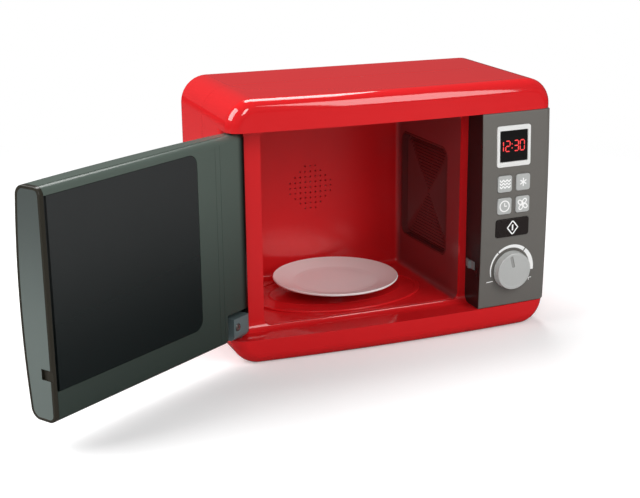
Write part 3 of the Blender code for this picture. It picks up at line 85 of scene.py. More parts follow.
def settle(piece, name=None):  # the place goes into the mesh, so the object sits at the origin
    pick(piece)
    bpy.ops.object.transform_apply(location=True, rotation=True, scale=True)
    if name:
        piece.name = name
    return piece


def put(piece, place):  # moves a finished shape by a matrix
    piece.matrix_world = place @ piece.matrix_world
    return settle(piece)


def middleAndSize(low, high):
    return [(a + b) / 2 for a, b in zip(low, high)], [b - a for a, b in zip(low, high)]


def addBox(name, low, high):
    clearSelection()
    middle, size = middleAndSize(low, high)
    bpy.ops.mesh.primitive_cube_add(size=1, location=middle, scale=size)
    return settle(bpy.context.object, name)


def addRod(name, start, end, radius, sides=32):
    clearSelection()
    run = Vector(end) - Vector(start)
    bpy.ops.mesh.primitive_cylinder_add(vertices=sides, radius=radius, depth=run.length)
    rod = bpy.context.object
    middle = Matrix.Translation((Vector(start) + Vector(end)) / 2)
    rod.matrix_world = middle @ run.to_track_quat("Z", "Y").to_matrix().to_4x4()
    return settle(rod, name)


def openEdit(piece, kind, how="DESELECT"):
    pick(piece)
    bpy.ops.object.mode_set(mode="EDIT")
    bpy.ops.mesh.select_mode(type=kind)
    bpy.ops.mesh.select_all(action=how)
    return bmesh.from_edit_mesh(piece.data)


def closeEdit():
    bpy.ops.object.mode_set(mode="OBJECT")


def choose(piece, kind, test):  # selects edges or faces by their place or normal
    shape = openEdit(piece, kind)
    for part in shape.edges if kind == "EDGE" else shape.faces:
        if test(part):
            part.select_set(True)
    bmesh.update_edit_mesh(piece.data)


def runsAlong(edge, axis):
    run = edge.verts[1].co - edge.verts[0].co
    return abs(run[axis]) > 0.999 * run.length


def rimsFace(edge, way):  # one of its faces looks that way and the other doesn't
    facing = [face.normal.dot(Vector(way)) > 0.99 for face in edge.link_faces]
    return any(facing) and not all(facing)


def along(axis):  # a test for choose or bevelEdges
    return lambda edge: runsAlong(edge, axis)


def rim(*way):
    return lambda edge: rimsFace(edge, way)


def bevelEdges(piece, test, width, count):
    choose(piece, "EDGE", test)
    bpy.ops.mesh.bevel(offset=width, segments=count, profile=0.5, affect="EDGES")
    closeEdit()


def roundedBox(name, low, high, axis, corner, count):  # rounded along one axis
    block = addBox(name, low, high)
    bevelEdges(block, along(axis), corner, count)
    return block


def sliceAcross(piece, axis, places):
    openEdit(piece, "VERT")
    across = [int(axis == k) for k in range(3)]
    for place in places:
        bpy.ops.mesh.select_all(action="SELECT")
        bpy.ops.mesh.bisect(plane_co=[place * k for k in across], plane_no=across)
    closeEdit()


def steps(start, end, count):
    return [start + (end - start) * k / count for k in range(count + 1)]


def deleteFaces(piece, test):
    choose(piece, "FACE", test)
    bpy.ops.mesh.delete(type="FACE")
    closeEdit()


def turnNormalsOut(piece):
    openEdit(piece, "VERT", "SELECT")
    bpy.ops.mesh.remove_doubles(threshold=0.000001)
    bpy.ops.mesh.normals_make_consistent(inside=False)
    closeEdit()


def modify(piece, kind, **settings):  # adds a modifier and applies it
    step = piece.modifiers.new(kind.lower(), kind)
    for name, value in settings.items():
        setattr(step, name, value)
    pick(piece)
    bpy.ops.object.modifier_apply(modifier=step.name)


def combine(piece, tool, how="DIFFERENCE"):
    modify(piece, "BOOLEAN", operation=how, solver="EXACT", object=tool)
    removeObject(tool)


def thicken(piece, wall, offset):
    modify(piece, "SOLIDIFY", thickness=wall, offset=offset, use_even_offset=True)


def roundEdges(piece, width, count=2, angle=40):
    modify(piece, "BEVEL", width=width, segments=count, limit_method="ANGLE", angle_limit=math.radians(angle),
           harden_normals=False)


def smooth(piece, angle=32):
    pick(piece)
    bpy.ops.object.shade_smooth_by_angle(angle=math.radians(angle))
    modify(piece, "WEIGHTED_NORMAL", keep_sharp=True)


def makeCage(name, low, high, counts, shift):  # a lattice whose points are pushed by shift(place)
    clearSelection()
    middle, size = middleAndSize(low, high)
    bpy.ops.object.add(type="LATTICE", location=middle)
    cage = bpy.context.object
    cage.name = name
    cage.scale = size
    cage.data.points_u, cage.data.points_v, cage.data.points_w = counts
    cage.data.interpolation_type_u = "KEY_BSPLINE"
    cage.data.interpolation_type_v = "KEY_LINEAR"
    cage.data.interpolation_type_w = "KEY_BSPLINE"
    bpy.context.view_layer.update()
    for point in cage.data.points:
        rest = Vector(point.co)
        move = shift(cage.matrix_world @ rest)
        point.co_deform = rest + Vector([a / b for a, b in zip(move, size)])
    return cage


def stackRings(name, middle, rings, sides):  # rings are half width, half depth and height
    clearSelection()
    wide, deep, level = rings[0]
    bpy.ops.mesh.primitive_circle_add(vertices=sides, radius=1, location=(*middle, level))
    bpy.context.object.scale = (wide, deep, 1)
    piece = settle(bpy.context.object, name)
    openEdit(piece, "EDGE", "SELECT")
    for before, after in zip(rings, rings[1:]):
        rise = after[2] - before[2]
        grow = (after[0] / before[0], after[1] / before[1], 1)
        bpy.ops.mesh.extrude_region_move(TRANSFORM_OT_translate={"value": (0, 0, rise)})
        bpy.ops.transform.resize(value=grow, center_override=(middle[0], middle[1], after[2]))
    bpy.ops.mesh.edge_face_add()
    closeEdit()
    choose(piece, "EDGE", lambda edge: edge.is_boundary)
    bpy.ops.mesh.edge_face_add()
    closeEdit()
    turnNormalsOut(piece)
    return piece


def stackRound(name, profile, sides, middle=(0, 0)):  # a turned shape from its radii and heights
    return stackRings(name, middle, [(radius, radius, z) for radius, z in profile], sides)


def skinRings(name, rings):  # a closed skin through rings of points, for shapes that no primitive gives
    points = [point for ring in rings for point in ring]
    count = len(rings[0])
    faces = []
    for row in range(len(rings) - 1):
        for k in range(count):
            a, b = row * count + k, row * count + (k + 1) % count
            faces.append((a, b, b + count, a + count))
    faces.append(tuple(range(count)))
    faces.append(tuple(range(len(points) - count, len(points))))
    mesh = bpy.data.meshes.new(name)
    mesh.from_pydata(points, [], faces)
    piece = addObject(name, mesh)
    turnNormalsOut(piece)
    return piece


def addStroke(points, width, loop=False):  # a printed line in the XY plane; a third number scales its width
    line = bpy.data.curves.new("stroke", "CURVE")
    line.dimensions = "3D"
    path = line.splines.new("POLY")
    path.points.add(len(points) - 1)
    for spot, point in zip(path.points, points):
        spot.co = (point[0], point[1], 0, 1)
        spot.radius = point[2] if len(point) > 2 else 1
    path.use_cyclic_u = loop
    line.bevel_depth = width / 2
    line.bevel_resolution = 2
    line.use_fill_caps = True
    piece = pick(addObject("stroke", line))
    bpy.ops.object.convert(target="MESH")
    piece.scale = (1, 1, printLift / width * 2)  # ink stands up by the same little height everywhere
    return settle(piece)


def addPath(count, place):  # the points of a line, from a rule that runs from 0 to 1
    return [place(k / count) for k in range(count + 1)]


def joinAll(name, pieces):
    clearSelection()
    for piece in pieces:
        piece.select_set(True)
    bpy.context.view_layer.objects.active = pieces[0]
    if len(pieces) > 1:
        bpy.ops.object.join()
    pieces[0].name = name
    return pieces[0]


def copyNode(name, node):  # a welded copy of a CAD node, to be rounded and smoothed
    piece = addObject(name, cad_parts[node].data.copy())
    openEdit(piece, "VERT", "SELECT")
    bpy.ops.mesh.customdata_custom_splitnormals_clear()
    bpy.ops.mesh.remove_doubles(threshold=0.00001)
    bpy.ops.mesh.dissolve_limited(angle_limit=math.radians(0.5))
    closeEdit()
    return piece


def giveFinish(piece, finish):
    piece.data.materials.clear()
    piece.data.materials.append(materials[finish])


def finishPiece(piece, finish, body, slot, *nodes, angle=32):
    smooth(piece, angle)
    giveFinish(piece, finish)
    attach(piece, body)
    if nodes:
        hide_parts(*nodes)


def paintFaces(piece, finish, faces):  # gives some faces a second finish
    piece.data.materials.append(materials[finish])
    for index in faces:
        piece.data.polygons[index].material_index = 1


def setSockets(tree, node, sockets):  # a value may be another node's output
    for name, value in sockets.items():
        if isinstance(value, bpy.types.NodeSocket):
            tree.links.new(value, node.inputs[name])
        else:
            node.inputs[name].default_value = value
    return node


def addNode(tree, kind, sockets, **settings):
    node = tree.nodes.new("ShaderNode" + kind)
    for name, value in settings.items():
        setattr(node, name, value)
    return setSockets(tree, node, sockets)


def mixTones(tree, factor, first, second):
    sockets = {"Factor": factor, 6: first, 7: second}
    return addNode(tree, "Mix", sockets, data_type="RGBA").outputs[2]


def doMath(tree, operation, first, second):
    return addNode(tree, "Math", {0: first, 1: second}, operation=operation).outputs[0]


def fadeFrom(tree, value, start, end):  # eases from 0 at the start to 1 at the end
    sockets = {"Value": value, "From Min": start, "From Max": end}
    return addNode(tree, "MapRange", sockets, interpolation_type="SMOOTHSTEP").outputs["Result"]


def plastic(name, values):  # moulded plastic: slight colour drift, uneven gloss, a fine skin, and painted light and shade where a finish lists them
    made = bpy.data.materials.new(name)
    made.use_nodes = True
    tree = made.node_tree
    place = addNode(tree, "TexCoord", {}).outputs["Object"]

    def noise(size, detail, where=place):
        return addNode(tree, "TexNoise", {"Vector": where, "Scale": size, "Detail": detail}).outputs["Fac"]

    tint = mixTones(tree, noise(values["driftSize"], 3), (*values["color"], 1), (*values["shade"], 1))
    for axis, start, end, tone in values.get("fades", ()):  # painted light and shade: another tone lies before the start of each fade
        split = addNode(tree, "SeparateXYZ", {"Vector": place})
        tint = mixTones(tree, fadeFrom(tree, split.outputs[axis], start, end), (*tone, 1), tint)
    low, high = values["gloss"]
    gloss = addNode(tree, "MapRange", {"Value": noise(values["glossSize"], 4), "To Min": low, "To Max": high})
    skin = place
    if "stretch" in values:  # brushing runs along the long side
        skin = addNode(tree, "Mapping", {"Vector": place, "Scale": values["stretch"]}).outputs["Vector"]
    height = noise(values["grainSize"], 2, skin)
    bump = addNode(tree, "Bump", {"Height": height, "Strength": values["grain"], "Distance": 0.0002})
    sockets = {"Base Color": tint, "Roughness": gloss.outputs["Result"], "Normal": bump.outputs["Normal"],
               "Metallic": values.get("metal", 0), "Specular IOR Level": values.get("level", 0.5)}
    if "glow" in values:
        sockets.update({"Emission Color": (*values["glow"], 1), "Emission Strength": values["glowStrength"]})
    setSockets(tree, tree.nodes["Principled BSDF"], sockets)
    return made


def look(color, shade, gloss, **more):
    base = {"color": color, "shade": shade, "gloss": gloss, "driftSize": 9, "glossSize": 60, "grainSize": 900,
            "grain": 0.12}
    base.update(more)
    return base


finishes = {
    "redShell": look((0.68, 0.014, 0.017), (0.65, 0.012, 0.015), (0.05, 0.08), level=0.7, grain=0.01),
    # painted shade: the oven's right wall is painted dark maroon where little light reaches it
    "redOven": look((0.72, 0.014, 0.018), (0.68, 0.013, 0.016), (0.15, 0.20), level=0.35, grain=0.04,
                    fades=[("X", 0.0712, 0.066, (0.25, 0.042, 0.044))]),
    # painted shade: the vent panel is the oven's red plastic, painted dark because it lies in shade
    "redVentPaintedShade": look((0.15, 0.030, 0.030), (0.13, 0.026, 0.026), (0.22, 0.26), level=0.3, grain=0.04),
    "darkPanel": look((0.148, 0.139, 0.126), (0.136, 0.129, 0.118), (0.36, 0.42), level=0.3,
                      grainSize=2600, grain=0.2),
    "panelReturn": look((0.020, 0.012, 0.012), (0.016, 0.010, 0.010), (0.25, 0.32), level=0.2),
    "paleTrim": look((0.78, 0.78, 0.76), (0.74, 0.74, 0.73), (0.28, 0.34), level=0.3),
    "blackWindow": look((0.008, 0.007, 0.007), (0.006, 0.005, 0.005), (0.04, 0.07), level=0.4, grain=0.01),
    # painted shade: the door window is painted darker towards the bottom
    "doorGlass": look((0.034, 0.036, 0.036), (0.028, 0.030, 0.030), (0.05, 0.08), level=0.4, grain=0.01,
                      fades=[("Z", 0.05, 0.20, (0.006, 0.009, 0.009))]),
    "silverKeys": look((0.50, 0.51, 0.50), (0.45, 0.46, 0.45), (0.32, 0.40), level=0.3, metal=0.1,
                       grainSize=3000, grain=0.2),
    "blackKey": look((0.022, 0.017, 0.016), (0.018, 0.014, 0.013), (0.24, 0.30), level=0.25),
    "silverKnob": look((0.62, 0.63, 0.61), (0.54, 0.55, 0.54), (0.30, 0.40), level=0.3, metal=0.25,
                       stretch=(1, 1, 0.03), grainSize=2500, grain=0.4),
    # painted shade: a darker grey for the pointer groove's floor, standing in for the shade in the recess
    "knobGroovePaintedShade": look((0.34, 0.34, 0.33), (0.30, 0.30, 0.29), (0.35, 0.45), level=0.3),
    "hingeGrey": look((0.115, 0.155, 0.160), (0.102, 0.138, 0.142), (0.32, 0.40), level=0.3),
    "smokyRim": look((0.030, 0.027, 0.020), (0.024, 0.022, 0.016), (0.20, 0.28), level=0.3, grain=0.02),
    "greyLatch": look((0.19, 0.22, 0.22), (0.17, 0.20, 0.20), (0.35, 0.42), level=0.3),
    # painted shade: the door is painted darker towards the bottom, and a painted shadow darkens its back face
    # beside the hinge
    "smokyDoor": look((0.090, 0.114, 0.098), (0.080, 0.102, 0.088), (0.20, 0.25), level=0.25, grain=0.03,
                      fades=[("Z", 0.02, 0.20, (0.032, 0.043, 0.037)),
                             ("X", -0.1405, -0.1470, (0.004, 0.005, 0.004))]),
    # painted light: the end cap's face is painted lighter towards the bottom
    "smokyCap": look((0.070, 0.082, 0.078), (0.062, 0.073, 0.069), (0.26, 0.32), level=0.25, grain=0.03,
                     fades=[("Z", 0.08, 0.21, (0.125, 0.150, 0.140))]),
    "whitePlate": look((0.94, 0.94, 0.93), (0.92, 0.92, 0.91), (0.14, 0.18), level=0.4, grain=0.02),
    "screwSteel": look((0.56, 0.55, 0.53), (0.48, 0.47, 0.46), (0.30, 0.40), metal=1,
                       grainSize=4000, grain=0.3),
    "greenBoard": look((0.02, 0.17, 0.06), (0.015, 0.13, 0.05), (0.40, 0.55), driftSize=120),
    "greyRubber": look((0.26, 0.26, 0.27), (0.22, 0.22, 0.23), (0.70, 0.85), grain=0.4),
    "blackPlastic": look((0.022, 0.022, 0.024), (0.016, 0.016, 0.018), (0.40, 0.52), grain=0.3),
    "cellSleeve": look((0.06, 0.08, 0.10), (0.05, 0.065, 0.085), (0.25, 0.35), metal=0.3),
    "whitePrint": look((0.92, 0.92, 0.91), (0.88, 0.88, 0.87), (0.40, 0.46), level=0.3),
    "redDigits": look((0.60, 0.02, 0.02), (0.50, 0.015, 0.015), (0.40, 0.50),
                      glow=(1.0, 0.06, 0.06), glowStrength=0.8),
}
materials = {name: plastic(name, values) for name, values in finishes.items()}

carried = {  # CAD nodes that stay as they are, with a better material
    "greenBoard": ("circuit_board",),
    "greyRubber": ("button_keypad",),
    "blackPlastic": ("display_module", "timer_switch", "timer_shaft", "latch_guide", "speaker",
                     "gearbox_case", "turntable_spindle", "battery_box"),
    "screwSteel": ("drive_motor",),
    "cellSleeve": ("battery_cell_1", "battery_cell_2", "battery_cell_3"),
}
for finish, nodes in carried.items():
    for node in nodes:
        giveFinish(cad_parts[node], finish)
print("materials ready:", len(materials))


def bowAt(x):
    return toy["bow"] * (x / toy["halfWidth"]) ** 2


def shellBow(place):  # full at the front, gone at the seam
    share = min(1, max(0, (toy["bowEndY"] - place.y) / toy["bowRun"]))
    return (0, bowAt(place.x) * share, 0)


frontShell = {"fillet": 0.011, "cornerSteps": 16, "filletSteps": 10, "columns": 36, "recessFillet": 0.008,
              "jambRound": 0.008, "pocket": 0.0094, "pinHole": 0.0028, "rimRound": 0.0007,
              "cage": ((-0.20, -0.0768, -0.01), (0.20, 0.0024, 0.245), (41, 8, 2))}
oven = {"left": -0.1195, "right": 0.0743, "taper": 0.0033, "floor": 0.027, "top": 0.2035, "back": 0.0825,
        "corner": 0.006, "fillet": 0.005, "wall": 0.002}


def shellBlock(name, inset, rear):  # the whole front shell's form, or its hollow when it is set in by the wall
    half, front = toy["halfWidth"] - inset, toy["frontY"] + inset
    corner, high = toy["corner"] - inset, toy["height"] - inset
    block = roundedBox(name, (-half, front, inset), (half, rear, high), 1, corner, frontShell["cornerSteps"])
    bevelEdges(block, rim(0, -1, 0), frontShell["fillet"] - inset, frontShell["filletSteps"])
    sliceAcross(block, 0, steps(corner - half, half - corner, frontShell["columns"]))
    cage = makeCage("bowCage", *frontShell["cage"], shellBow)
    modify(block, "LATTICE", object=cage)
    removeObject(cage)
    return block


def cutRecess(block, spread):  # spread is the wall that stays round the recess, or 0 for the recess itself
    half, size = toy["halfWidth"], frontShell
    low, top, jamb = toy["recessLow"] - spread, toy["recessHigh"] + spread, toy["jambY"] + spread
    recess = addBox("recess", (-0.19, -0.12, low), (0.19, jamb, top))
    bevelEdges(recess, lambda edge: runsAlong(edge, 0) and edge.verts[0].co.y > jamb - 0.001,
               size["recessFillet"] + spread, 10)
    combine(block, recess)
    middle = (size["jambRound"] - half, toy["jambY"] + size["jambRound"])
    corner = addBox("jambCorner", (-half - 0.02, jamb - 0.002, low), (*middle, top))
    jambRod = addRod("jambRound", (*middle, -0.02), (*middle, 0.26), size["jambRound"] - spread, 96)
    combine(corner, jambRod)
    combine(block, corner)
    pocket = size["pocket"] + spread
    combine(block, addRod("pocket", (hinge["x"], hinge["y"], low), (hinge["x"], hinge["y"], top), pocket, 96))
    low, high = (-half - 0.02, hinge["y"] - pocket, low), (hinge["x"], hinge["y"] + pocket, top)
    combine(block, addBox("pocketSide", low, high))


def makeFrontHousing():
    seam = toy["seamY"] - toy["gap"] / 2
    shell = shellBlock("frontHousing", 0, seam)
    cutRecess(shell, 0)
    hollow = shellBlock("hollow", toy["wall"], seam + 0.02)
    cutRecess(hollow, toy["wall"])
    combine(shell, hollow)
    for level in (toy["recessLow"], toy["recessHigh"]):
        ends = (hinge["x"], hinge["y"], level - 0.005), (hinge["x"], hinge["y"], level + 0.005)
        combine(shell, addRod("pinHole", *ends, frontShell["pinHole"], 32))
    low = (oven["left"], toy["jambY"] - 0.01, oven["floor"])
    high = (oven["right"], toy["jambY"] + 0.02, oven["top"])
    combine(shell, roundedBox("mouth", low, high, 1, oven["corner"], 8))
    roundEdges(shell, frontShell["rimRound"], 3, 50)
    finishPiece(shell, "redShell", "housing", "red_shell", "front_housing")


rearShell = {"fillet": 0.005, "boxInset": 0.022, "boxDepth": 0.021, "boxRound": 0.008, "boxCorner": 0.010,
             "wellRadius": 0.006, "wellBore": 0.004, "wellFloorY": 0.0238, "wellFloor": 0.0022,
             "rimRound": 0.0005}
cover = {"x": 0.105, "low": 0.049, "high": 0.112, "width": 0.037, "thick": 0.0025, "corner": 0.003,
         "screwZ": 0.054, "screwSink": 0.0019, "sinkRadius": 0.0035, "gripWidth": 0.018, "gripPitch": 0.0022}
screwHole = 0.0016
shellScrews = ((-0.1395, 0.045), (-0.1395, 0.190), (0.1410, 0.045), (0.1410, 0.190))


def yRod(name, x, z, start, end, radius, sides):  # a rod that runs from front to back
    return addRod(name, (x, start, z), (x, end, z), radius, sides)


def makeRearHousing():
    size = rearShell
    half, high, back = toy["halfWidth"], toy["height"], toy["rearY"]
    seam = toy["seamY"] + toy["gap"] / 2
    shell = roundedBox("rearHousing", (-half, seam, 0), (half, back, high), 1, toy["corner"], 16)
    bevelEdges(shell, rim(0, 1, 0), size["fillet"], 6)
    inset, deep = size["boxInset"], size["boxDepth"]
    low, high = (inset - half, back - 0.02, inset), (half - inset, back + deep, high - inset)
    box = roundedBox("rearBox", low, high, 1, size["boxCorner"], 10)
    bevelEdges(box, rim(0, 1, 0), size["boxRound"], 8)
    combine(shell, box, "UNION")
    deleteFaces(shell, lambda face: face.normal.y < -0.99 and face.calc_center_median().y < seam + 0.0005)
    thicken(shell, toy["wall"], -1)
    start = size["wellFloorY"]
    for x, z in shellScrews:
        combine(shell, yRod("well", x, z, start, back - 0.001, size["wellRadius"], 40), "UNION")
        combine(shell, yRod("bore", x, z, start + size["wellFloor"], back + 0.01, size["wellBore"], 40))
        combine(shell, yRod("through", x, z, start - 0.01, start + 0.01, screwHole, 20))
    left, right = cover["x"] - cover["width"] / 2, cover["x"] + cover["width"] / 2
    low, high = (left, back + deep - 0.006, cover["low"]), (right, back + deep + 0.01, cover["high"])
    combine(shell, roundedBox("coverHole", low, high, 1, cover["corner"], 6))
    roundEdges(shell, size["rimRound"], 2, 50)
    finishPiece(shell, "redShell", "housing", "red_shell", "rear_housing")


def makeBatteryCover():
    wide = cover["width"] / 2 - toy["gap"]
    back = toy["rearY"] + rearShell["boxDepth"]
    low, high = cover["low"] + toy["gap"], cover["high"] - toy["gap"]
    x, screwZ = cover["x"], cover["screwZ"]
    start, end = (x - wide, back - cover["thick"], low), (x + wide, back, high)
    lid = roundedBox("batteryCover", start, end, 1, cover["corner"], 8)
    bevelEdges(lid, rim(0, 1, 0), 0.0005, 3)
    combine(lid, yRod("sink", x, screwZ, back - cover["screwSink"], back + 0.01, cover["sinkRadius"], 40))
    combine(lid, yRod("through", x, screwZ, back - 0.01, back + 0.01, screwHole, 24))
    reach = cover["gripWidth"] / 2
    for k in range(5):  # shallow grip lines for a thumb
        z = high - 0.008 - cover["gripPitch"] * k
        start, end = (x - reach, back - 0.0005, z - 0.0005), (x + reach, back + 0.01, z + 0.0005)
        combine(lid, addBox("grip", start, end))
    finishPiece(lid, "redShell", "housing", "red_shell", "battery_cover")


makeFrontHousing()
makeRearHousing()
makeBatteryCover()
print("shells ready")


speaker = {"x": -0.025, "z": 0.1155, "pitch": 0.0053, "field": 0.0222, "hole": 0.0007}
turn = (-0.0248, 0.0190)  # the turntable's middle
vent = {"width": 0.097, "height": 0.106, "corner": 0.010, "deep": 0.0065, "floor": 0.0022, "wall": 0.0015,
        "middleY": 0.0290, "middleZ": 0.1130, "ridges": 16, "rise": 0.0011, "flange": 0.0055,
        "flangeThick": 0.0015, "flangeCorner": 0.0155}
spindle = {"room": 0.0051, "socket": 0.0053}


def ventPlace():
    slope = oven["taper"] / (oven["back"] - oven["fillet"] - toy["jambY"])
    x = oven["right"] - slope * (vent["middleY"] - toy["jambY"])
    return Matrix.Translation((x, vent["middleY"], vent["middleZ"])) @ Matrix.Rotation(math.atan(slope), 4, "Z")


def ventBlock(name, x0, x1, spread, corner):
    half, tall = vent["width"] / 2 + spread, vent["height"] / 2 + spread
    return roundedBox(name, (x0, -half, -tall), (x1, half, tall), 0, corner, 10)


def spindleRod():  # the room that the spindle needs through the floor
    return addRod("spindleHole", (*turn, 0.01), (*turn, 0.04), spindle["room"], 32)


def makeLiner():
    low = (oven["left"], toy["jambY"] + toy["wall"] + toy["gap"], oven["floor"])
    liner = addBox("cavityLiner", low, (oven["right"], oven["back"], oven["top"]))
    choose(liner, "EDGE", lambda edge: all(v.co.x > 0 and v.co.y > 0 for v in edge.verts))
    bpy.ops.transform.translate(value=(-oven["taper"], 0, 0))
    closeEdit()
    bevelEdges(liner, lambda edge: abs(edge.verts[0].co.y - edge.verts[1].co.y) > 0.1, oven["corner"], 8)
    bevelEdges(liner, rim(0, 1, 0), oven["fillet"], 8)
    deleteFaces(liner, lambda face: face.normal.y < -0.99)
    thicken(liner, oven["wall"], 1)
    combine(liner, put(ventBlock("ventHole", -0.012, 0.012, 0, vent["corner"]), ventPlace()))
    holes, back = [], oven["back"]
    for i in range(-4, 5):
        for j in range(-4, 5):
            if math.hypot(i, j) * speaker["pitch"] < speaker["field"]:
                x, z = speaker["x"] + i * speaker["pitch"], speaker["z"] + j * speaker["pitch"]
                holes.append(yRod("soundHole", x, z, back - 0.003, back + 0.005, speaker["hole"], 16))
    combine(liner, joinAll("soundHoles", holes))
    combine(liner, spindleRod())
    roundEdges(liner, 0.0004, 2, 50)
    finishPiece(liner, "redOven", "housing", "red_oven", "cavity_liner")


def makeVentPanel():
    deep = vent["deep"] + vent["floor"]
    tray = ventBlock("ventPanel", 0, deep, -toy["gap"], vent["corner"] - toy["gap"])
    choose(tray, "FACE", lambda face: face.normal.x < -0.99)
    bpy.ops.mesh.inset(thickness=vent["wall"])
    bpy.ops.mesh.extrude_region_move(TRANSFORM_OT_translate={"value": (vent["deep"], 0, 0)})
    bpy.ops.mesh.inset(thickness=0.001)
    count = vent["ridges"]
    shares = [1 - k / (2 * count) for k in range(2 * count)]
    for k in range(1, 2 * count):  # nested squares: each step in lifts or drops the middle
        lift = -vent["rise"] if k % 2 else vent["rise"]
        shrink = shares[k] / shares[k - 1]
        bpy.ops.mesh.extrude_region_move(TRANSFORM_OT_translate={"value": (lift, 0, 0)})
        bpy.ops.transform.resize(value=(1, shrink, shrink), center_override=(vent["deep"], 0, 0))
    closeEdit()
    back = oven["wall"] + toy["gap"]
    flange = ventBlock("ventFlange", back, back + vent["flangeThick"], vent["flange"], vent["flangeCorner"])
    combine(flange, ventBlock("room", -0.01, 0.01, -vent["wall"] / 2, vent["corner"] - vent["wall"] / 2))
    combine(tray, flange, "UNION")
    put(tray, ventPlace())
    # the vent gets the dark red that carries painted shade
    finishPiece(tray, "redVentPaintedShade", "housing", "red_oven", "vent_panel", angle=25)


pan = {"halfWidth": 0.0855, "halfDepth": 0.0597, "rim": 0.006, "low": 0.0273, "rimHeight": 0.0016,
       "floor": 0.0008, "fineRing": 0.0008}
plate = {"radius": 0.060, "rimZ": 0.0437, "bedRadius": 0.038, "bedZ": 0.0390, "thick": 0.0020, "boss": 0.0085,
         "foot": 0.0333, "socketTop": 0.0365}


def makeFloorPan():
    wide, deep, edge = pan["halfWidth"], pan["halfDepth"], pan["rim"]
    low, top, bed = pan["low"], pan["low"] + pan["rimHeight"], pan["low"] + pan["floor"]
    fine = bed + pan["fineRing"]  # a second ring inside the first, hardly raised
    profile = [(0, low), (0, top - 0.0007), (0.0002, top - 0.0003), (0.0006, top), (edge - 0.0010, top),
               (edge - 0.0004, top - 0.0002), (edge, bed), (edge + 0.012, bed), (edge + 0.0135, fine),
               (edge + 0.0150, fine), (edge + 0.017, bed)]
    rings = [(wide - inset, deep - inset, level) for inset, level in profile]
    tray = stackRings("floorPan", turn, rings, 128)
    combine(tray, spindleRod())
    finishPiece(tray, "redOven", "housing", "red_oven", "floor_pan")


def makePlate():
    radius, bed, rimZ, bedZ = plate["radius"], plate["bedRadius"], plate["rimZ"], plate["bedZ"]
    underZ = bedZ - plate["thick"]

    def slope(shares, z):  # the curve from the bed up to the rim
        return [(bed + (radius - bed) * s, z + (rimZ - bedZ) * s ** 1.3) for s in shares]

    profile = [(plate["boss"], plate["foot"]), (plate["boss"], underZ), (bed - 0.001, underZ),
               (bed + 0.002, underZ + 0.0002), (bed + 0.006, underZ + 0.0008)]
    profile += slope((0.4, 0.55, 0.7, 0.85, 0.95), underZ)
    profile += [(radius - 0.0003, rimZ - plate["thick"] + 0.0003), (radius, rimZ - plate["thick"] + 0.0008),
                (radius, rimZ - 0.0006), (radius - 0.0003, rimZ - 0.0002), (radius - 0.0008, rimZ)]
    profile += slope((0.9, 0.8, 0.65, 0.5, 0.35, 0.22), bedZ)
    profile += [(bed + 0.003, bedZ + 0.0002), (bed + 0.001, bedZ), (bed - 0.0015, bedZ),
                (bed - 0.0025, bedZ - 0.0003), (0.012, bedZ - 0.0003)]
    dish = stackRound("turntablePlate", profile, 128, turn)
    ends = (*turn, plate["foot"] - 0.01), (*turn, plate["socketTop"])
    combine(dish, addRod("driveSocket", *ends, spindle["socket"], 6))
    finishPiece(dish, "whitePlate", "turntable", "white_plate", "turntable_plate")


makeLiner()
makeVentPanel()
makeFloorPan()
makePlate()
print("oven ready")


panel = {"left": 0.08075, "right": 0.1535, "low": 0.02395, "high": 0.2073, "proud": 0.0025, "sag": 0.0025,
         "wall": 0.0022, "sideRound": 0.0055, "backRound": 0.008, "edge": 0.0012}
panelMiddle = (panel["low"] + panel["high"]) / 2
panelHalf = (panel["high"] - panel["low"]) / 2


def panelFrontY(x, z):
    return toy["frontY"] - panel["proud"] + bowAt(x) + panel["sag"] * ((z - panelMiddle) / panelHalf) ** 2


def onPanel(x, z):  # a place on the panel's front: X right, Y up, Z out of it
    slopeX = 2 * toy["bow"] * x / toy["halfWidth"] ** 2
    slopeZ = 2 * panel["sag"] * (z - panelMiddle) / panelHalf ** 2
    out = Vector((slopeX, -1, slopeZ)).normalized()
    right = Vector((1, slopeX, 0)).normalized()
    place = Matrix((right, out.cross(right), out)).transposed().to_4x4()
    place.translation = (x, panelFrontY(x, z), z)
    return place


def panelBlock(name, width, height, low, high, corner, place, topRound=0):
    block = roundedBox(name, (-width / 2, -height / 2, low), (width / 2, height / 2, high), 2, corner, 8)
    if topRound:
        bevelEdges(block, rim(0, 0, 1), topRound, 4)
    return put(block, place)


window = {"x": 0.1132, "z": 0.1764, "width": 0.0358, "height": 0.0378, "corner": 0.0025, "rise": 0.0005,
          "skirt": 0.0014, "skirtLow": -0.0034, "sink": 0.0012, "lensWidth": 0.0293, "lensHeight": 0.0282,
          "lensLow": -0.0017, "lensTop": -0.0003}
keys = {  # body, CAD node, x, z, width, height
    "keyWaves": ("key_defrost", "button_defrost", 0.1040, 0.1420, 0.0150, 0.0154),
    "keyStar": ("key_cool", "button_cool", 0.1235, 0.1420, 0.0150, 0.0154),
    "keyClock": ("key_clock", "button_clock", 0.1040, 0.1212, 0.0150, 0.0154),
    "keyFan": ("key_fan", "button_fan", 0.1235, 0.1212, 0.0150, 0.0154),
    "keyStart": ("key_start", "start_button", 0.1134, 0.1000, 0.0354, 0.0170),
}
keyShape = {"corner": 0.0025, "rise": 0.0010, "edge": 0.0005, "low": -0.0031, "flange": 0.0010,
            "flangeTop": -0.0025, "flangeLow": -0.0037}
knob = {"x": 0.1134, "z": 0.0593, "radius": 0.0183, "faceRadius": 0.0176, "low": 0.0004, "height": 0.0072,
        "edge": 0.0008, "shaft": 0.003, "pointerTurn": 15, "pointerFrom": 0.0037, "pointerTo": 0.0155,
        "pointerWidth": 0.0032, "pointerDeep": 0.0008}
latch = {"frontY": -0.0654, "rearY": -0.0490, "low": 0.0595, "high": 0.0670}
panelFlat = toy["frontY"] - panel["proud"]
panelRear = toy["jambY"] - toy["gap"]


def panelShift(place):
    share = min(1, max(0, (panelRear - place.y) / (panelRear - panelFlat)))
    return (0, share * (panelFrontY(place.x, place.z) - panelFlat), 0)


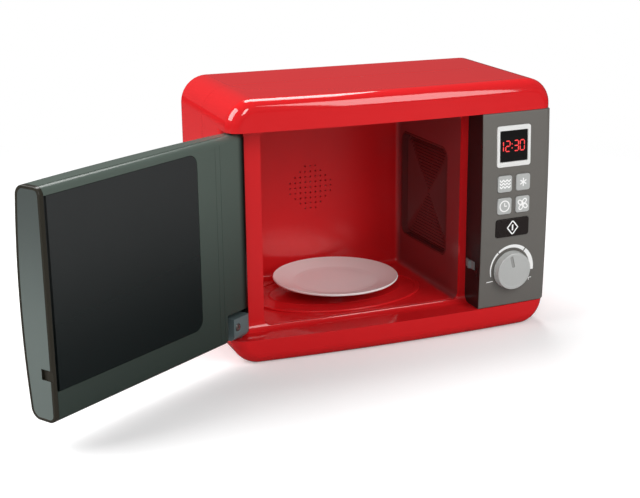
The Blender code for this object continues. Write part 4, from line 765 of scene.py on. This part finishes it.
def panelShape(name, inset, rear):  # the panel's form, or its hollow when it is set in by the wall
    left, right = panel["left"] + inset, panel["right"] - inset
    low, high = panel["low"] + inset, panel["high"] - inset
    item = addBox(name, (left, panelFlat + inset, low), (right, rear, high))

    def frontRight(edge):
        return runsAlong(edge, 2) and edge.verts[0].co.y < -0.06 and edge.verts[0].co.x > 0.1

    def rearEdge(edge):
        return runsAlong(edge, 0) and edge.verts[0].co.y > -0.05

    bevelEdges(item, frontRight, panel["sideRound"] - inset, 12)
    bevelEdges(item, rearEdge, panel["backRound"] - inset, 8)
    if not inset:
        def outline(edge):
            ends = any(rimsFace(edge, way) for way in ((0, 0, 1), (0, 0, -1)))
            ahead = all(v.co.y < rear - panel["backRound"] - 0.0001 for v in edge.verts)
            front = runsAlong(edge, 2) and edge.verts[0].co.x < left + 0.0001 and edge.verts[0].co.y < -0.07
            return (ends and ahead and not rimsFace(edge, (-1, 0, 0))) or front

        bevelEdges(item, outline, panel["edge"], 4)
    sliceAcross(item, 0, steps(panel["left"] + 0.006, panel["right"] - 0.011, 8))
    sliceAcross(item, 2, steps(panel["low"] + 0.009, panel["high"] - 0.009, 22))
    modify(item, "LATTICE", object=panelCage)
    return item


def makePanel():
    item = panelShape("controlPanel", 0, panelRear)
    combine(item, panelShape("hollow", panel["wall"], panelRear + 0.01))
    place, gap = onPanel(window["x"], window["z"]), toy["gap"]
    width, height, corner = window["width"], window["height"], window["corner"]
    cuts = [("windowHole", width, height, -2 * window["skirt"], -0.012, corner, place),
            ("windowSink", width, height, 2 * gap, -window["sink"], corner + gap, place)]
    cuts += [("keyHole", width, height, 2 * gap, -0.012, keyShape["corner"] + gap, onPanel(x, z))
             for _, _, x, z, width, height in keys.values()]
    for name, width, height, spread, low, corner, place in cuts:
        combine(item, panelBlock(name, width + spread, height + spread, low, 0.012, corner, place))
    shaft = addRod("shaftHole", (0, 0, -0.006), (0, 0, 0.012), knob["shaft"], 32)
    combine(item, put(shaft, onPanel(knob["x"], knob["z"])))
    slot = addBox("latchSlot", (panel["left"] - 0.012, latch["frontY"] - gap, latch["low"] - gap),
                  (panel["left"] + 0.006, latch["rearY"] + gap, latch["high"] + gap))
    combine(item, slot)
    finishPiece(item, "darkPanel", "housing", "dark_panel", "control_panel")
    edge = panel["left"] + 0.001  # the side towards the door is nearly black
    side = [face.index for face in item.data.polygons if face.normal.x < -0.9 and face.center.x < edge]
    paintFaces(item, "panelReturn", side)


def makeDisplay():
    place, corner = onPanel(window["x"], window["z"]), window["corner"]
    width, height = window["width"], window["height"]
    low = 0.0003 - window["sink"]
    trim = panelBlock("displayFrame", width, height, low, window["rise"], corner, place, 0.0004)
    skirt, low = 2 * (window["skirt"] + toy["gap"]), window["skirtLow"]
    combine(trim, panelBlock("skirt", width - skirt, height - skirt, low, -0.0005, corner, place), "UNION")
    wide, tall, low = window["lensWidth"], window["lensHeight"], window["lensLow"]
    combine(trim, panelBlock("lensRoom", wide + 0.0006, tall + 0.0006, low - 0.0003, 0.012, 0.0006, place))
    combine(trim, panelBlock("opening", wide - 0.002, tall - 0.002, -0.012, 0.012, 0.0006, place))
    roundEdges(trim, 0.0002, 2, 60)
    finishPiece(trim, "paleTrim", "housing", "pale_trim", "display_frame")
    lens = panelBlock("displayLens", wide, tall, low, window["lensTop"], 0.0004, place, 0.0002)
    finishPiece(lens, "blackWindow", "housing", "black_window", "display_lens")


def makeKey(name):
    body, node, x, z, width, height = keys[name]
    place = onPanel(x, z)
    low, top = keyShape["low"], keyShape["rise"]
    key = panelBlock(name, width, height, low, top, keyShape["corner"], place, keyShape["edge"])
    spread, low, top = 2 * keyShape["flange"], keyShape["flangeLow"], keyShape["flangeTop"]
    combine(key, panelBlock("flange", width + spread, height + spread, low, top, 0.0005, place), "UNION")
    finish, slot = ("blackKey", "black_key") if name == "keyStart" else ("silverKeys", "silver_keys")
    finishPiece(key, finish, body, slot, node)


def makeKnob():
    low, top = knob["low"], knob["low"] + knob["height"]
    face, edge = knob["faceRadius"], knob["edge"]
    profile = [(knob["shaft"], low), (knob["radius"] - 0.0003, low), (knob["radius"], low + 0.0003),
               (face, top - edge)]
    for k in range(1, 6):
        swing = math.pi / 2 * k / 5
        profile.append((face - edge * (1 - math.cos(swing)), top - edge * (1 - math.sin(swing))))
    profile += [(face - 0.0024, top), (face - 0.0027, top - 0.00015), (face - 0.0030, top - 0.00015)]
    dial = stackRound("timerKnob", profile, 96)
    combine(dial, addRod("bore", (0, 0, low - 0.01), (0, 0, low + 0.0052), knob["shaft"], 32))
    half, floorZ = knob["pointerWidth"] / 2, top - knob["pointerDeep"]
    start, end = (-half, knob["pointerFrom"], floorZ), (half, knob["pointerTo"], top + 0.01)
    groove = roundedBox("groove", start, end, 2, half * 0.95, 8)
    bevelEdges(groove, rim(0, 0, -1), 0.0004, 3)
    combine(dial, put(groove, Matrix.Rotation(math.radians(knob["pointerTurn"]), 4, "Z")))
    heights = [abs(point.co.z - floorZ) for point in dial.data.vertices]
    inGroove = [face.index for face in dial.data.polygons if all(heights[k] < 0.00045 for k in face.vertices)]
    put(dial, onPanel(knob["x"], knob["z"]))
    finishPiece(dial, "silverKnob", "knob", "silver_knob", "timer_knob")
    # painted shade on the groove's floor
    paintFaces(dial, "knobGroovePaintedShade", inGroove)


def makeLatch():
    tongue = copyNode("latchTongue", "latch_tongue")
    roundEdges(tongue, 0.0003, 3, 40)
    finishPiece(tongue, "greyLatch", "latch", "grey_latch", "latch_tongue")


def printPiece(name, body, strokes, place, finish="whitePrint", slot="pale_trim"):
    piece = joinAll(name, strokes)
    put(piece, place)
    finishPiece(piece, finish, body, slot, angle=60)
    return piece


def turned(radius, degrees):
    return (radius * math.cos(math.radians(degrees)), radius * math.sin(math.radians(degrees)))


icons = {"line": 0.0012, "waveWidth": 0.0118, "wavePitch": 0.0029, "waveRise": 0.0008, "starArm": 0.0038,
         "clockRadius": 0.0049, "petalReach": 0.0034, "petalLong": 0.0024, "petalWide": 0.0018,
         "diamondWide": 0.0056, "diamondTall": 0.0064, "barTall": 0.0028}


def makeIcons():
    size, line = icons, icons["line"]
    waves = []
    for row in (-1, 0, 1):
        def wave(t):
            lift = size["waveRise"] * math.cos(6 * math.pi * t)
            return ((t - 0.5) * size["waveWidth"], row * size["wavePitch"] + lift)
        waves.append(addStroke(addPath(36, wave), line))
    star = [addStroke([turned(size["starArm"], q), turned(-size["starArm"], q)], line) for q in (90, 30, 150)]
    circle = addStroke([turned(size["clockRadius"], 10 * k) for k in range(36)], line, True)
    clock = [circle, addStroke([(0, 0.0031), (0, 0), (0.0025, 0)], line)]
    fan = [addStroke([turned(0.0007, 30 * k) for k in range(12)], line, True)]
    reach, long, wide = size["petalReach"], size["petalLong"], size["petalWide"]
    oval = [turned(1, 22.5 * k) for k in range(16)]
    petal = [Vector((reach + long * x, wide * y + 0.0004)) for x, y in oval]
    for quarter in range(4):
        spin = Matrix.Rotation(math.radians(90 * quarter + 50), 2)
        fan.append(addStroke([spin @ point for point in petal], line, True))
    wide, tall = size["diamondWide"], size["diamondTall"]
    edge = [(wide, 0), (wide * 0.85, tall * 0.15), (wide * 0.15, tall * 0.88), (0, tall * 0.95)]
    ring = edge + [(-x, y) for x, y in reversed(edge[:-1])]
    ring += [(-x, -y) for x, y in edge[1:]] + [(x, -y) for x, y in reversed(edge[1:-1])]
    start = [addStroke(ring, line, True), addStroke([(0, size["barTall"]), (0, -size["barTall"])], line * 1.3)]
    for name, strokes in zip(keys, (waves, star, clock, fan, start)):
        body, _, x, z = keys[name][:4]
        printPiece(name + "Print", body, strokes, onPanel(x, z) @ Matrix.Translation((0, 0, keyShape["rise"])))


scale = {"radius": 0.0213, "thin": 0.0008, "grow": 0.0038, "turns": ((194, 129.5), (126.5, 51.5), (48.5, -8)),
         "ends": (((-0.0252, -0.0101), (-0.0184, -0.0096)),
                  ((0.0211, -0.0138), (0.0211, -0.0113), (0.0239, -0.0113)))}


def makeScale():  # the white scale that widens clockwise round the knob, in three lengths
    flat = Matrix.Translation((knob["x"], panelFlat, knob["z"])) @ Matrix.Rotation(math.radians(90), 4, "X")
    strokes = []
    first, last = scale["turns"][0][0], scale["turns"][-1][1]
    for start, end in scale["turns"]:
        def arc(t):
            angle = start + (end - start) * t
            share = (first - angle) / (first - last)
            wide = scale["thin"] + scale["grow"] * share
            return (*turned(scale["radius"] - 0.0004 + wide / 2, angle), wide / 0.004)
        strokes.append(addStroke(addPath(24, arc), 0.004))
    for points in scale["ends"]:
        strokes.append(addStroke(points, scale["thin"]))
    ink = printPiece("knobScale", "housing", strokes, flat)
    modify(ink, "LATTICE", object=panelCage)


digits = {"wide": 0.0045, "tall": 0.0094, "line": 0.0010, "z": 0.1750, "colonX": 0.1114,
          "lit": ((0.0977, "bc"), (0.1047, "abged"), (0.1137, "abgcd"), (0.1201, "abcdef"))}


def makeDigits():
    line, z = digits["line"], digits["z"]
    wide, tall, gap = digits["wide"], digits["tall"], line * 0.32
    half = tall / 2
    corners = {"a": ((0, tall), (wide, tall)), "b": ((wide, tall), (wide, half)),
               "c": ((wide, half), (wide, 0)), "d": ((0, 0), (wide, 0)), "e": ((0, half), (0, 0)),
               "f": ((0, tall), (0, half)), "g": ((0, half), (wide, half))}
    shift = Matrix.Translation((-window["x"], -z - half, window["lensTop"]))
    place = onPanel(window["x"], window["z"]) @ shift
    strokes = []
    for left, lit in digits["lit"]:
        for name in lit:
            a, b = (Vector((x, y)) for x, y in corners[name])
            way = (b - a).normalized()
            spot = Vector((left, z))
            a, b = a + way * gap + spot, b - way * gap + spot
            mid = (a + way * line * 0.5, b - way * line * 0.5)
            strokes.append(addStroke([(*a, 0.1), (*mid[0], 1), (*mid[1], 1), (*b, 0.1)], line))
    for lift in (0.3, 0.7):
        x, y = digits["colonX"], z + tall * lift
        strokes.append(addStroke([(x, y - 0.0005), (x, y + 0.0005)], 0.0010))
    printPiece("clockDigits", "housing", strokes, place, "redDigits", "black_window")


panelCage = makeCage("panelCage", (0.05, panelFlat, -0.01), (0.19, panelRear, 0.245), (15, 2, 27), panelShift)
makePanel()
makeDisplay()
for keyName in keys:
    makeKey(keyName)
makeKnob()
makeLatch()
makeIcons()
makeScale()
makeDigits()
removeObject(panelCage)
print("control panel ready")


door = {"length": 0.2260, "low": 0.0252, "high": 0.2064, "backV": 0.0086, "proud": 0.0027, "sag": 0.0040,
        "frontRound": 0.009, "backRound": 0.0065, "roundShare": 0.42, "fullThickness": 0.025, "wall": 0.0022,
        "splitV": 0.0032, "barrel": 0.0086, "chordU": 0.0040, "chordV": -0.0152, "easeU": 0.040,
        "hollowU": 0.028, "cap": 0.0037, "profileSteps": 14, "grooveWide": 0.0008, "grooveDeep": 0.0006,
        "pin": 0.0025, "mouldLines": (0.0285, 0.0345), "mouldLine": 0.0006, "mouldZ": (0.03, 0.2015),
        "notch": ((-0.0043, 0.0250), (-0.0036, 0.03), (-0.02, 0.0520))}  # the notch holds the hinge block
cutterRoom = {"u": (-0.03, 0.26), "v": (-0.04, 0.04), "z": (-0.02, 0.25)}  # clear of the door all round
doorWindow = {"fromU": 0.057, "toU": 0.2196, "low": 0.0500, "high": 0.1997, "corner": 0.0095, "thick": 0.0023,
              "lip": 0.0028}
endCap = {"edge": 0.0006, "border": 0.0016, "inset": 0.0002, "insetSlope": 0.0003, "tabU": 0.212,
          "tabV": (-0.012, 0.0024), "tabZ": ((0.0340, 0.0560), (0.1720, 0.1940))}
slotCut = {"v": (-0.0030, 0.0027), "z": (0.0590, 0.0675), "deep": 0.0022, "channel": 0.0008}
doorTurn = Matrix.Rotation(math.radians(-hinge["open"]), 4, "Z")
doorPlace = Matrix.Translation((hinge["x"], hinge["y"], 0)) @ doorTurn
capU = door["length"] - door["cap"]
shellEndU = capU - toy["gap"]


def doorFrontV(u):
    line = toy["frontY"] - door["proud"] + bowAt(hinge["x"] + u) - hinge["y"]
    lift = door["chordV"] - (toy["frontY"] - door["proud"] + bowAt(hinge["x"] + door["chordU"]) - hinge["y"])
    return line + lift * max(0, (door["easeU"] - u) / (door["easeU"] - door["chordU"])) ** 2


def doorSection(u, front, back, inset):  # the D that the door has at one place along it
    thick = back - front
    frontRound = min(door["frontRound"], door["roundShare"] * thick) - inset
    backRound = min(door["backRound"], door["roundShare"] * thick) - inset
    sag = door["sag"] * min(1, thick / door["fullThickness"])
    front, back = front + inset, back - inset
    low, high = door["low"] + inset, door["high"] - inset
    middle, count = (low + high) / 2, door["profileSteps"]
    reach = high - middle - frontRound
    half = [(front + sag * (k / count) ** 2, middle + reach * k / count) for k in range(count)]
    turns = [(1 - math.cos(q), 1 - math.sin(q)) for q in steps(0, math.pi / 2, count)]
    half += [(front + sag + frontRound * a, high - frontRound * b) for a, b in turns]
    half += [(back - backRound * b, high - backRound * a) for a, b in turns]
    return [(u, v, z) for v, z in half + [(v, low + high - z) for v, z in reversed(half[1:])]]


def doorStations():
    radius, found = door["barrel"], []
    for swing in steps(6, 45, 10):
        u, v = -radius * math.cos(math.radians(swing)), radius * math.sin(math.radians(swing))
        found.append((u, -v, v))
    startU, startV = found[-1][0], found[-1][1]
    for swing in steps(50, 90, 8):
        u = -radius * math.cos(math.radians(swing))
        share = (u - startU) / (door["chordU"] - startU)
        found.append((u, startV + share * (door["chordV"] - startV), radius * math.sin(math.radians(swing))))
    found.append((door["chordU"], door["chordV"], door["backV"]))
    return found


def wholeDoor(name):
    rings = [doorSection(u, front, back, 0) for u, front, back in doorStations()]
    rings += [doorSection(u, doorFrontV(u), door["backV"], 0) for u in steps(0.008, shellEndU, 34)]
    return skinRings(name, rings)


def doorSlice(name, fromU, toU, inset, count):
    us = steps(fromU, toU, count)
    return skinRings(name, [doorSection(u, doorFrontV(u), door["backV"], inset) for u in us])


def upright(name, us, vs, zs, corner=0):  # a block in the closed door's own directions
    low, high = zip(us, vs, zs)
    return roundedBox(name, low, high, 1, corner, 12) if corner else addBox(name, low, high)


def splitGroove():  # the shadow line where the door's two halves meet
    wide = door["grooveWide"] / 2
    groove = upright("groove", (0.02, 0.24), (door["splitV"] - wide, door["splitV"] + wide), cutterRoom["z"])
    combine(groove, doorSlice("core", 0.01, 0.25, door["grooveDeep"], 20))
    return groove


def doorHalf(name, cutFrom, cutTo):  # the hollow door without what lies between two depths
    half = wholeDoor(name)
    combine(half, doorSlice("hollow", door["hollowU"], 0.24, door["wall"], 20))
    combine(half, upright("split", cutterRoom["u"], (cutFrom, cutTo), cutterRoom["z"]))
    combine(half, splitGroove())
    combine(half, upright("notch", *door["notch"]))
    return half


def makeDoorShell():
    shell = doorHalf("doorShell", door["splitV"] - toy["gap"] / 2, cutterRoom["v"][1])
    pin = addRod("pin", (0, 0, door["high"] - 0.008), (0, 0, toy["recessHigh"] + 0.003), door["pin"], 32)
    combine(shell, pin, "UNION")
    put(shell, doorPlace)
    finishPiece(shell, "smokyDoor", "door", "smoky_door", "door_shell")


def makeInnerPanel():
    size = doorWindow
    inner = doorHalf("doorInnerPanel", cutterRoom["v"][0], door["splitV"] + toy["gap"] / 2)
    zs = (size["low"], size["high"])
    combine(inner, upright("windowHole", (size["fromU"], 0.26), (0, 0.04), zs, size["corner"]))
    for u in door["mouldLines"]:  # two fine mould lines beside the hinge
        vs = (door["backV"] - 0.0002, 0.02)
        combine(inner, upright("line", (u, u + door["mouldLine"]), vs, door["mouldZ"]))
    put(inner, doorPlace)
    finishPiece(inner, "smokyDoor", "door", "smoky_door", "door_inner_panel")


def makeDoorWindow():
    size, gap = doorWindow, toy["gap"]
    face, lip = door["backV"] - gap / 2, size["lip"]
    glass = upright("doorWindow", (size["fromU"] + gap, 0.26), (face - 0.0031, face),
                    (size["low"] + gap, size["high"] - gap), size["corner"] - gap)
    combine(glass, upright("end", (size["toU"], 0.30), cutterRoom["v"], cutterRoom["z"]))
    lip = upright("lip", (size["fromU"] - lip, shellEndU), (face - 0.0040, face - size["thick"]),
                  (size["low"] - lip, size["high"] + 0.0011))
    combine(glass, lip, "UNION")
    put(glass, doorPlace)
    roundEdges(glass, 0.0003, 2, 60)
    finishPiece(glass, "doorGlass", "door", "black_window", "door_window")


def makeEndCap():
    length = door["length"]
    cap = doorSlice("doorEndCap", capU, length, 0, 6)
    bevelEdges(cap, rim(1, 0, 0), endCap["edge"], 4)
    choose(cap, "FACE", lambda face: face.normal.x > 0.99 and face.calc_area() > 0.001)
    bpy.ops.mesh.inset(thickness=endCap["border"])
    bpy.ops.mesh.inset(thickness=endCap["insetSlope"], depth=-endCap["inset"])
    closeEdit()
    for zs in endCap["tabZ"]:
        combine(cap, upright("tab", (endCap["tabU"], capU + 0.002), endCap["tabV"], zs), "UNION")
    combine(cap, upright("channel", (length - slotCut["channel"], 0.24), (0, 0.04), slotCut["z"]))
    combine(cap, upright("slot", (length - slotCut["deep"], 0.24), slotCut["v"], slotCut["z"]))
    inlay = [face.index for face in cap.data.polygons
             if face.normal.x > 0.9 and face.center.x < length - 0.00005 and face.area > 0.0001]
    put(cap, doorPlace)
    finishPiece(cap, "smokyRim", "door", "smoky_cap", "door_end_cap")
    paintFaces(cap, "smokyCap", inlay)


def makeHingeBlock():
    foot = copyNode("hingeBlock", "hinge_block")
    roundEdges(foot, 0.0004, 3, 40)
    finishPiece(foot, "hingeGrey", "door", "grey_latch", "hinge_block")


makeDoorShell()
makeInnerPanel()
makeDoorWindow()
makeEndCap()
makeHingeBlock()
print("door ready")


screw = {"head": 0.0030, "headThick": 0.0018, "shank": 0.00115, "crossWidth": 0.0007, "crossLength": 0.0034,
         "crossDeep": 0.0009}


def makeScrew(name, node, head, length, body="housing", way=(0, -1, 0)):
    thick, shank, radius = screw["headThick"], screw["shank"], screw["head"]
    crown = thick / 3
    profile = [(0.0004, 0), (radius - crown, 0), (radius - crown * 0.4, crown * 0.25), (radius, crown),
               (radius, thick), (shank, thick), (shank, length - 0.001), (0.0002, length)]
    item = stackRound(name, profile, 32)
    cross = (screw["crossWidth"] / 2, screw["crossLength"] / 2)
    for x, y in (cross, cross[::-1]):
        combine(item, addBox("cross", (-x, -y, -0.001), (x, y, screw["crossDeep"])))
    put(item, Matrix.Translation(head) @ Vector(way).to_track_quat("Z", "Y").to_matrix().to_4x4())
    finishPiece(item, "screwSteel", body, "screw_steel", node)


screwRows = {  # how far back the head is, its places from the front, and the screw's length
    "shell": (0.0281, shellScrews, 0.018),
    "panel": (-0.0421, ((0.1445, 0.1650), (0.1445, 0.0700)), 0.011),
    "board": (-0.0588, ((0.0905, 0.1960), (0.1375, 0.0910)), 0.007),
}
for kind, (y, places, length) in screwRows.items():
    for number, (x, z) in enumerate(places, 1):
        makeScrew(f"{kind}Screw{number}", f"{kind}_screw_{number}", (x, y, z), length)
makeScrew("batteryCoverScrew", "battery_cover_screw", (cover["x"], 0.0977, cover["screwZ"]), 0.008)
hingeHead = doorPlace @ Vector((0.0117, door["backV"] + toy["gap"], 0.0378))
hingeWay = doorPlace.to_3x3() @ Vector((0, -1, 0))
makeScrew("hingeBlockScrew", "hinge_block_screw", hingeHead, 0.018, "door", hingeWay)
print("screws ready")


view = {"place": (-0.47995, -1.11824, 0.43505), "pitch": 72.753, "turn": -23.133, "lens": 75.45,
        "shiftX": -0.0698, "shiftY": 0.0225}
clearSelection()
bpy.ops.object.camera_add(location=view["place"],
                          rotation=(math.radians(view["pitch"]), 0, math.radians(view["turn"])))
camera = bpy.context.object
camera.data.lens = view["lens"]
camera.data.shift_x = view["shiftX"]
camera.data.shift_y = view["shiftY"]
bpy.context.scene.camera = camera

lamps = {  # place, what it looks at, width and height, power
    "keyLamp": ((0.60, -1.20, 0.86), (0.0, -0.07, 0.18), (0.64, 1.25), 11.5),
    "stripLamp": ((-0.44, -1.16, 0.88), (0.0, -0.07, 0.18), (0.25, 0.6), 4),
    "leftLamp": ((-1.25, 0.12, 0.95), (0.0, 0.0, 0.12), (1.0, 0.9), 20.5),
    "topLamp": ((0.10, 0.50, 1.30), (0.0, 0.0, 0.20), (0.7, 0.7), 12.5),
}
for name, (place, target, size, power) in lamps.items():
    bpy.ops.object.light_add(type="AREA", location=place)
    lamp = bpy.context.object
    lamp.name = name
    lamp.data.shape = "RECTANGLE"
    lamp.data.size, lamp.data.size_y = size
    lamp.data.energy = power
    lamp.rotation_euler = (Vector(target) - Vector(place)).to_track_quat("-Z", "Y").to_euler()

studio = {"soft": 0.12, "softColor": (0.95, 0.97, 1.0, 1), "shine": 0.10, "floorColor": (0.80, 0.80, 0.80, 1),
          "floorShine": (0.11, 0.11, 0.11, 1), "floorLift": 0.26, "fadeFrom": 0.45, "fadeTo": 0.95}
pureWhite = (1, 1, 1, 1)
world = bpy.data.worlds.new("studio")
bpy.context.scene.world = world
world.use_nodes = True
tree = world.node_tree
rays = addNode(tree, "LightPath", {}).outputs
clear = doMath(tree, "MAXIMUM", rays["Is Camera Ray"], rays["Is Transmission Ray"])  # these see pure white
shine = doMath(tree, "MULTIPLY", rays["Is Glossy Ray"], studio["shine"])  # gloss sees it dimmer
seen = doMath(tree, "MAXIMUM", clear, shine)
soft = setSockets(tree, tree.nodes["Background"], {"Color": studio["softColor"], "Strength": studio["soft"]})
white = addNode(tree, "Background", {"Color": pureWhite, "Strength": seen})
mixer = addNode(tree, "MixShader", {"Fac": doMath(tree, "GREATER_THAN", seen, 0), 1: soft.outputs[0],
                                    2: white.outputs[0]})
setSockets(tree, tree.nodes["World Output"], {"Surface": mixer.outputs[0]})

clearSelection()
bpy.ops.mesh.primitive_plane_add(size=30, location=(0, 0, 0))
floor = bpy.context.object
floor.name = "floor"
floorLook = bpy.data.materials.new("paleFloor")
floorLook.use_nodes = True
tree = floorLook.node_tree
rays = addNode(tree, "LightPath", {}).outputs
tone = mixTones(tree, rays["Is Glossy Ray"], studio["floorColor"], studio["floorShine"])
lift = doMath(tree, "MULTIPLY", rays["Is Camera Ray"], studio["floorLift"])  # up to white for the camera only
shader = setSockets(tree, tree.nodes["Principled BSDF"], {
    "Base Color": tone, "Roughness": 0.9, "Specular IOR Level": 0.1, "Emission Color": pureWhite,
    "Emission Strength": lift})
place = addNode(tree, "TexCoord", {}).outputs["Object"]
reach = addNode(tree, "VectorMath", {0: place}, operation="LENGTH").outputs["Value"]
fade = fadeFrom(tree, reach, studio["fadeFrom"], studio["fadeTo"])  # far from the toy the floor turns white
far = doMath(tree, "MULTIPLY", fade, rays["Is Camera Ray"])
backdrop = addNode(tree, "Emission", {})
ends = addNode(tree, "MixShader", {"Fac": far, 1: shader.outputs[0], 2: backdrop.outputs[0]})
setSockets(tree, tree.nodes["Material Output"], {"Surface": ends.outputs[0]})
floor.data.materials.append(floorLook)

bpy.context.scene.view_settings.view_transform = "Standard"
bpy.context.view_layer.update()
print("scene ready")
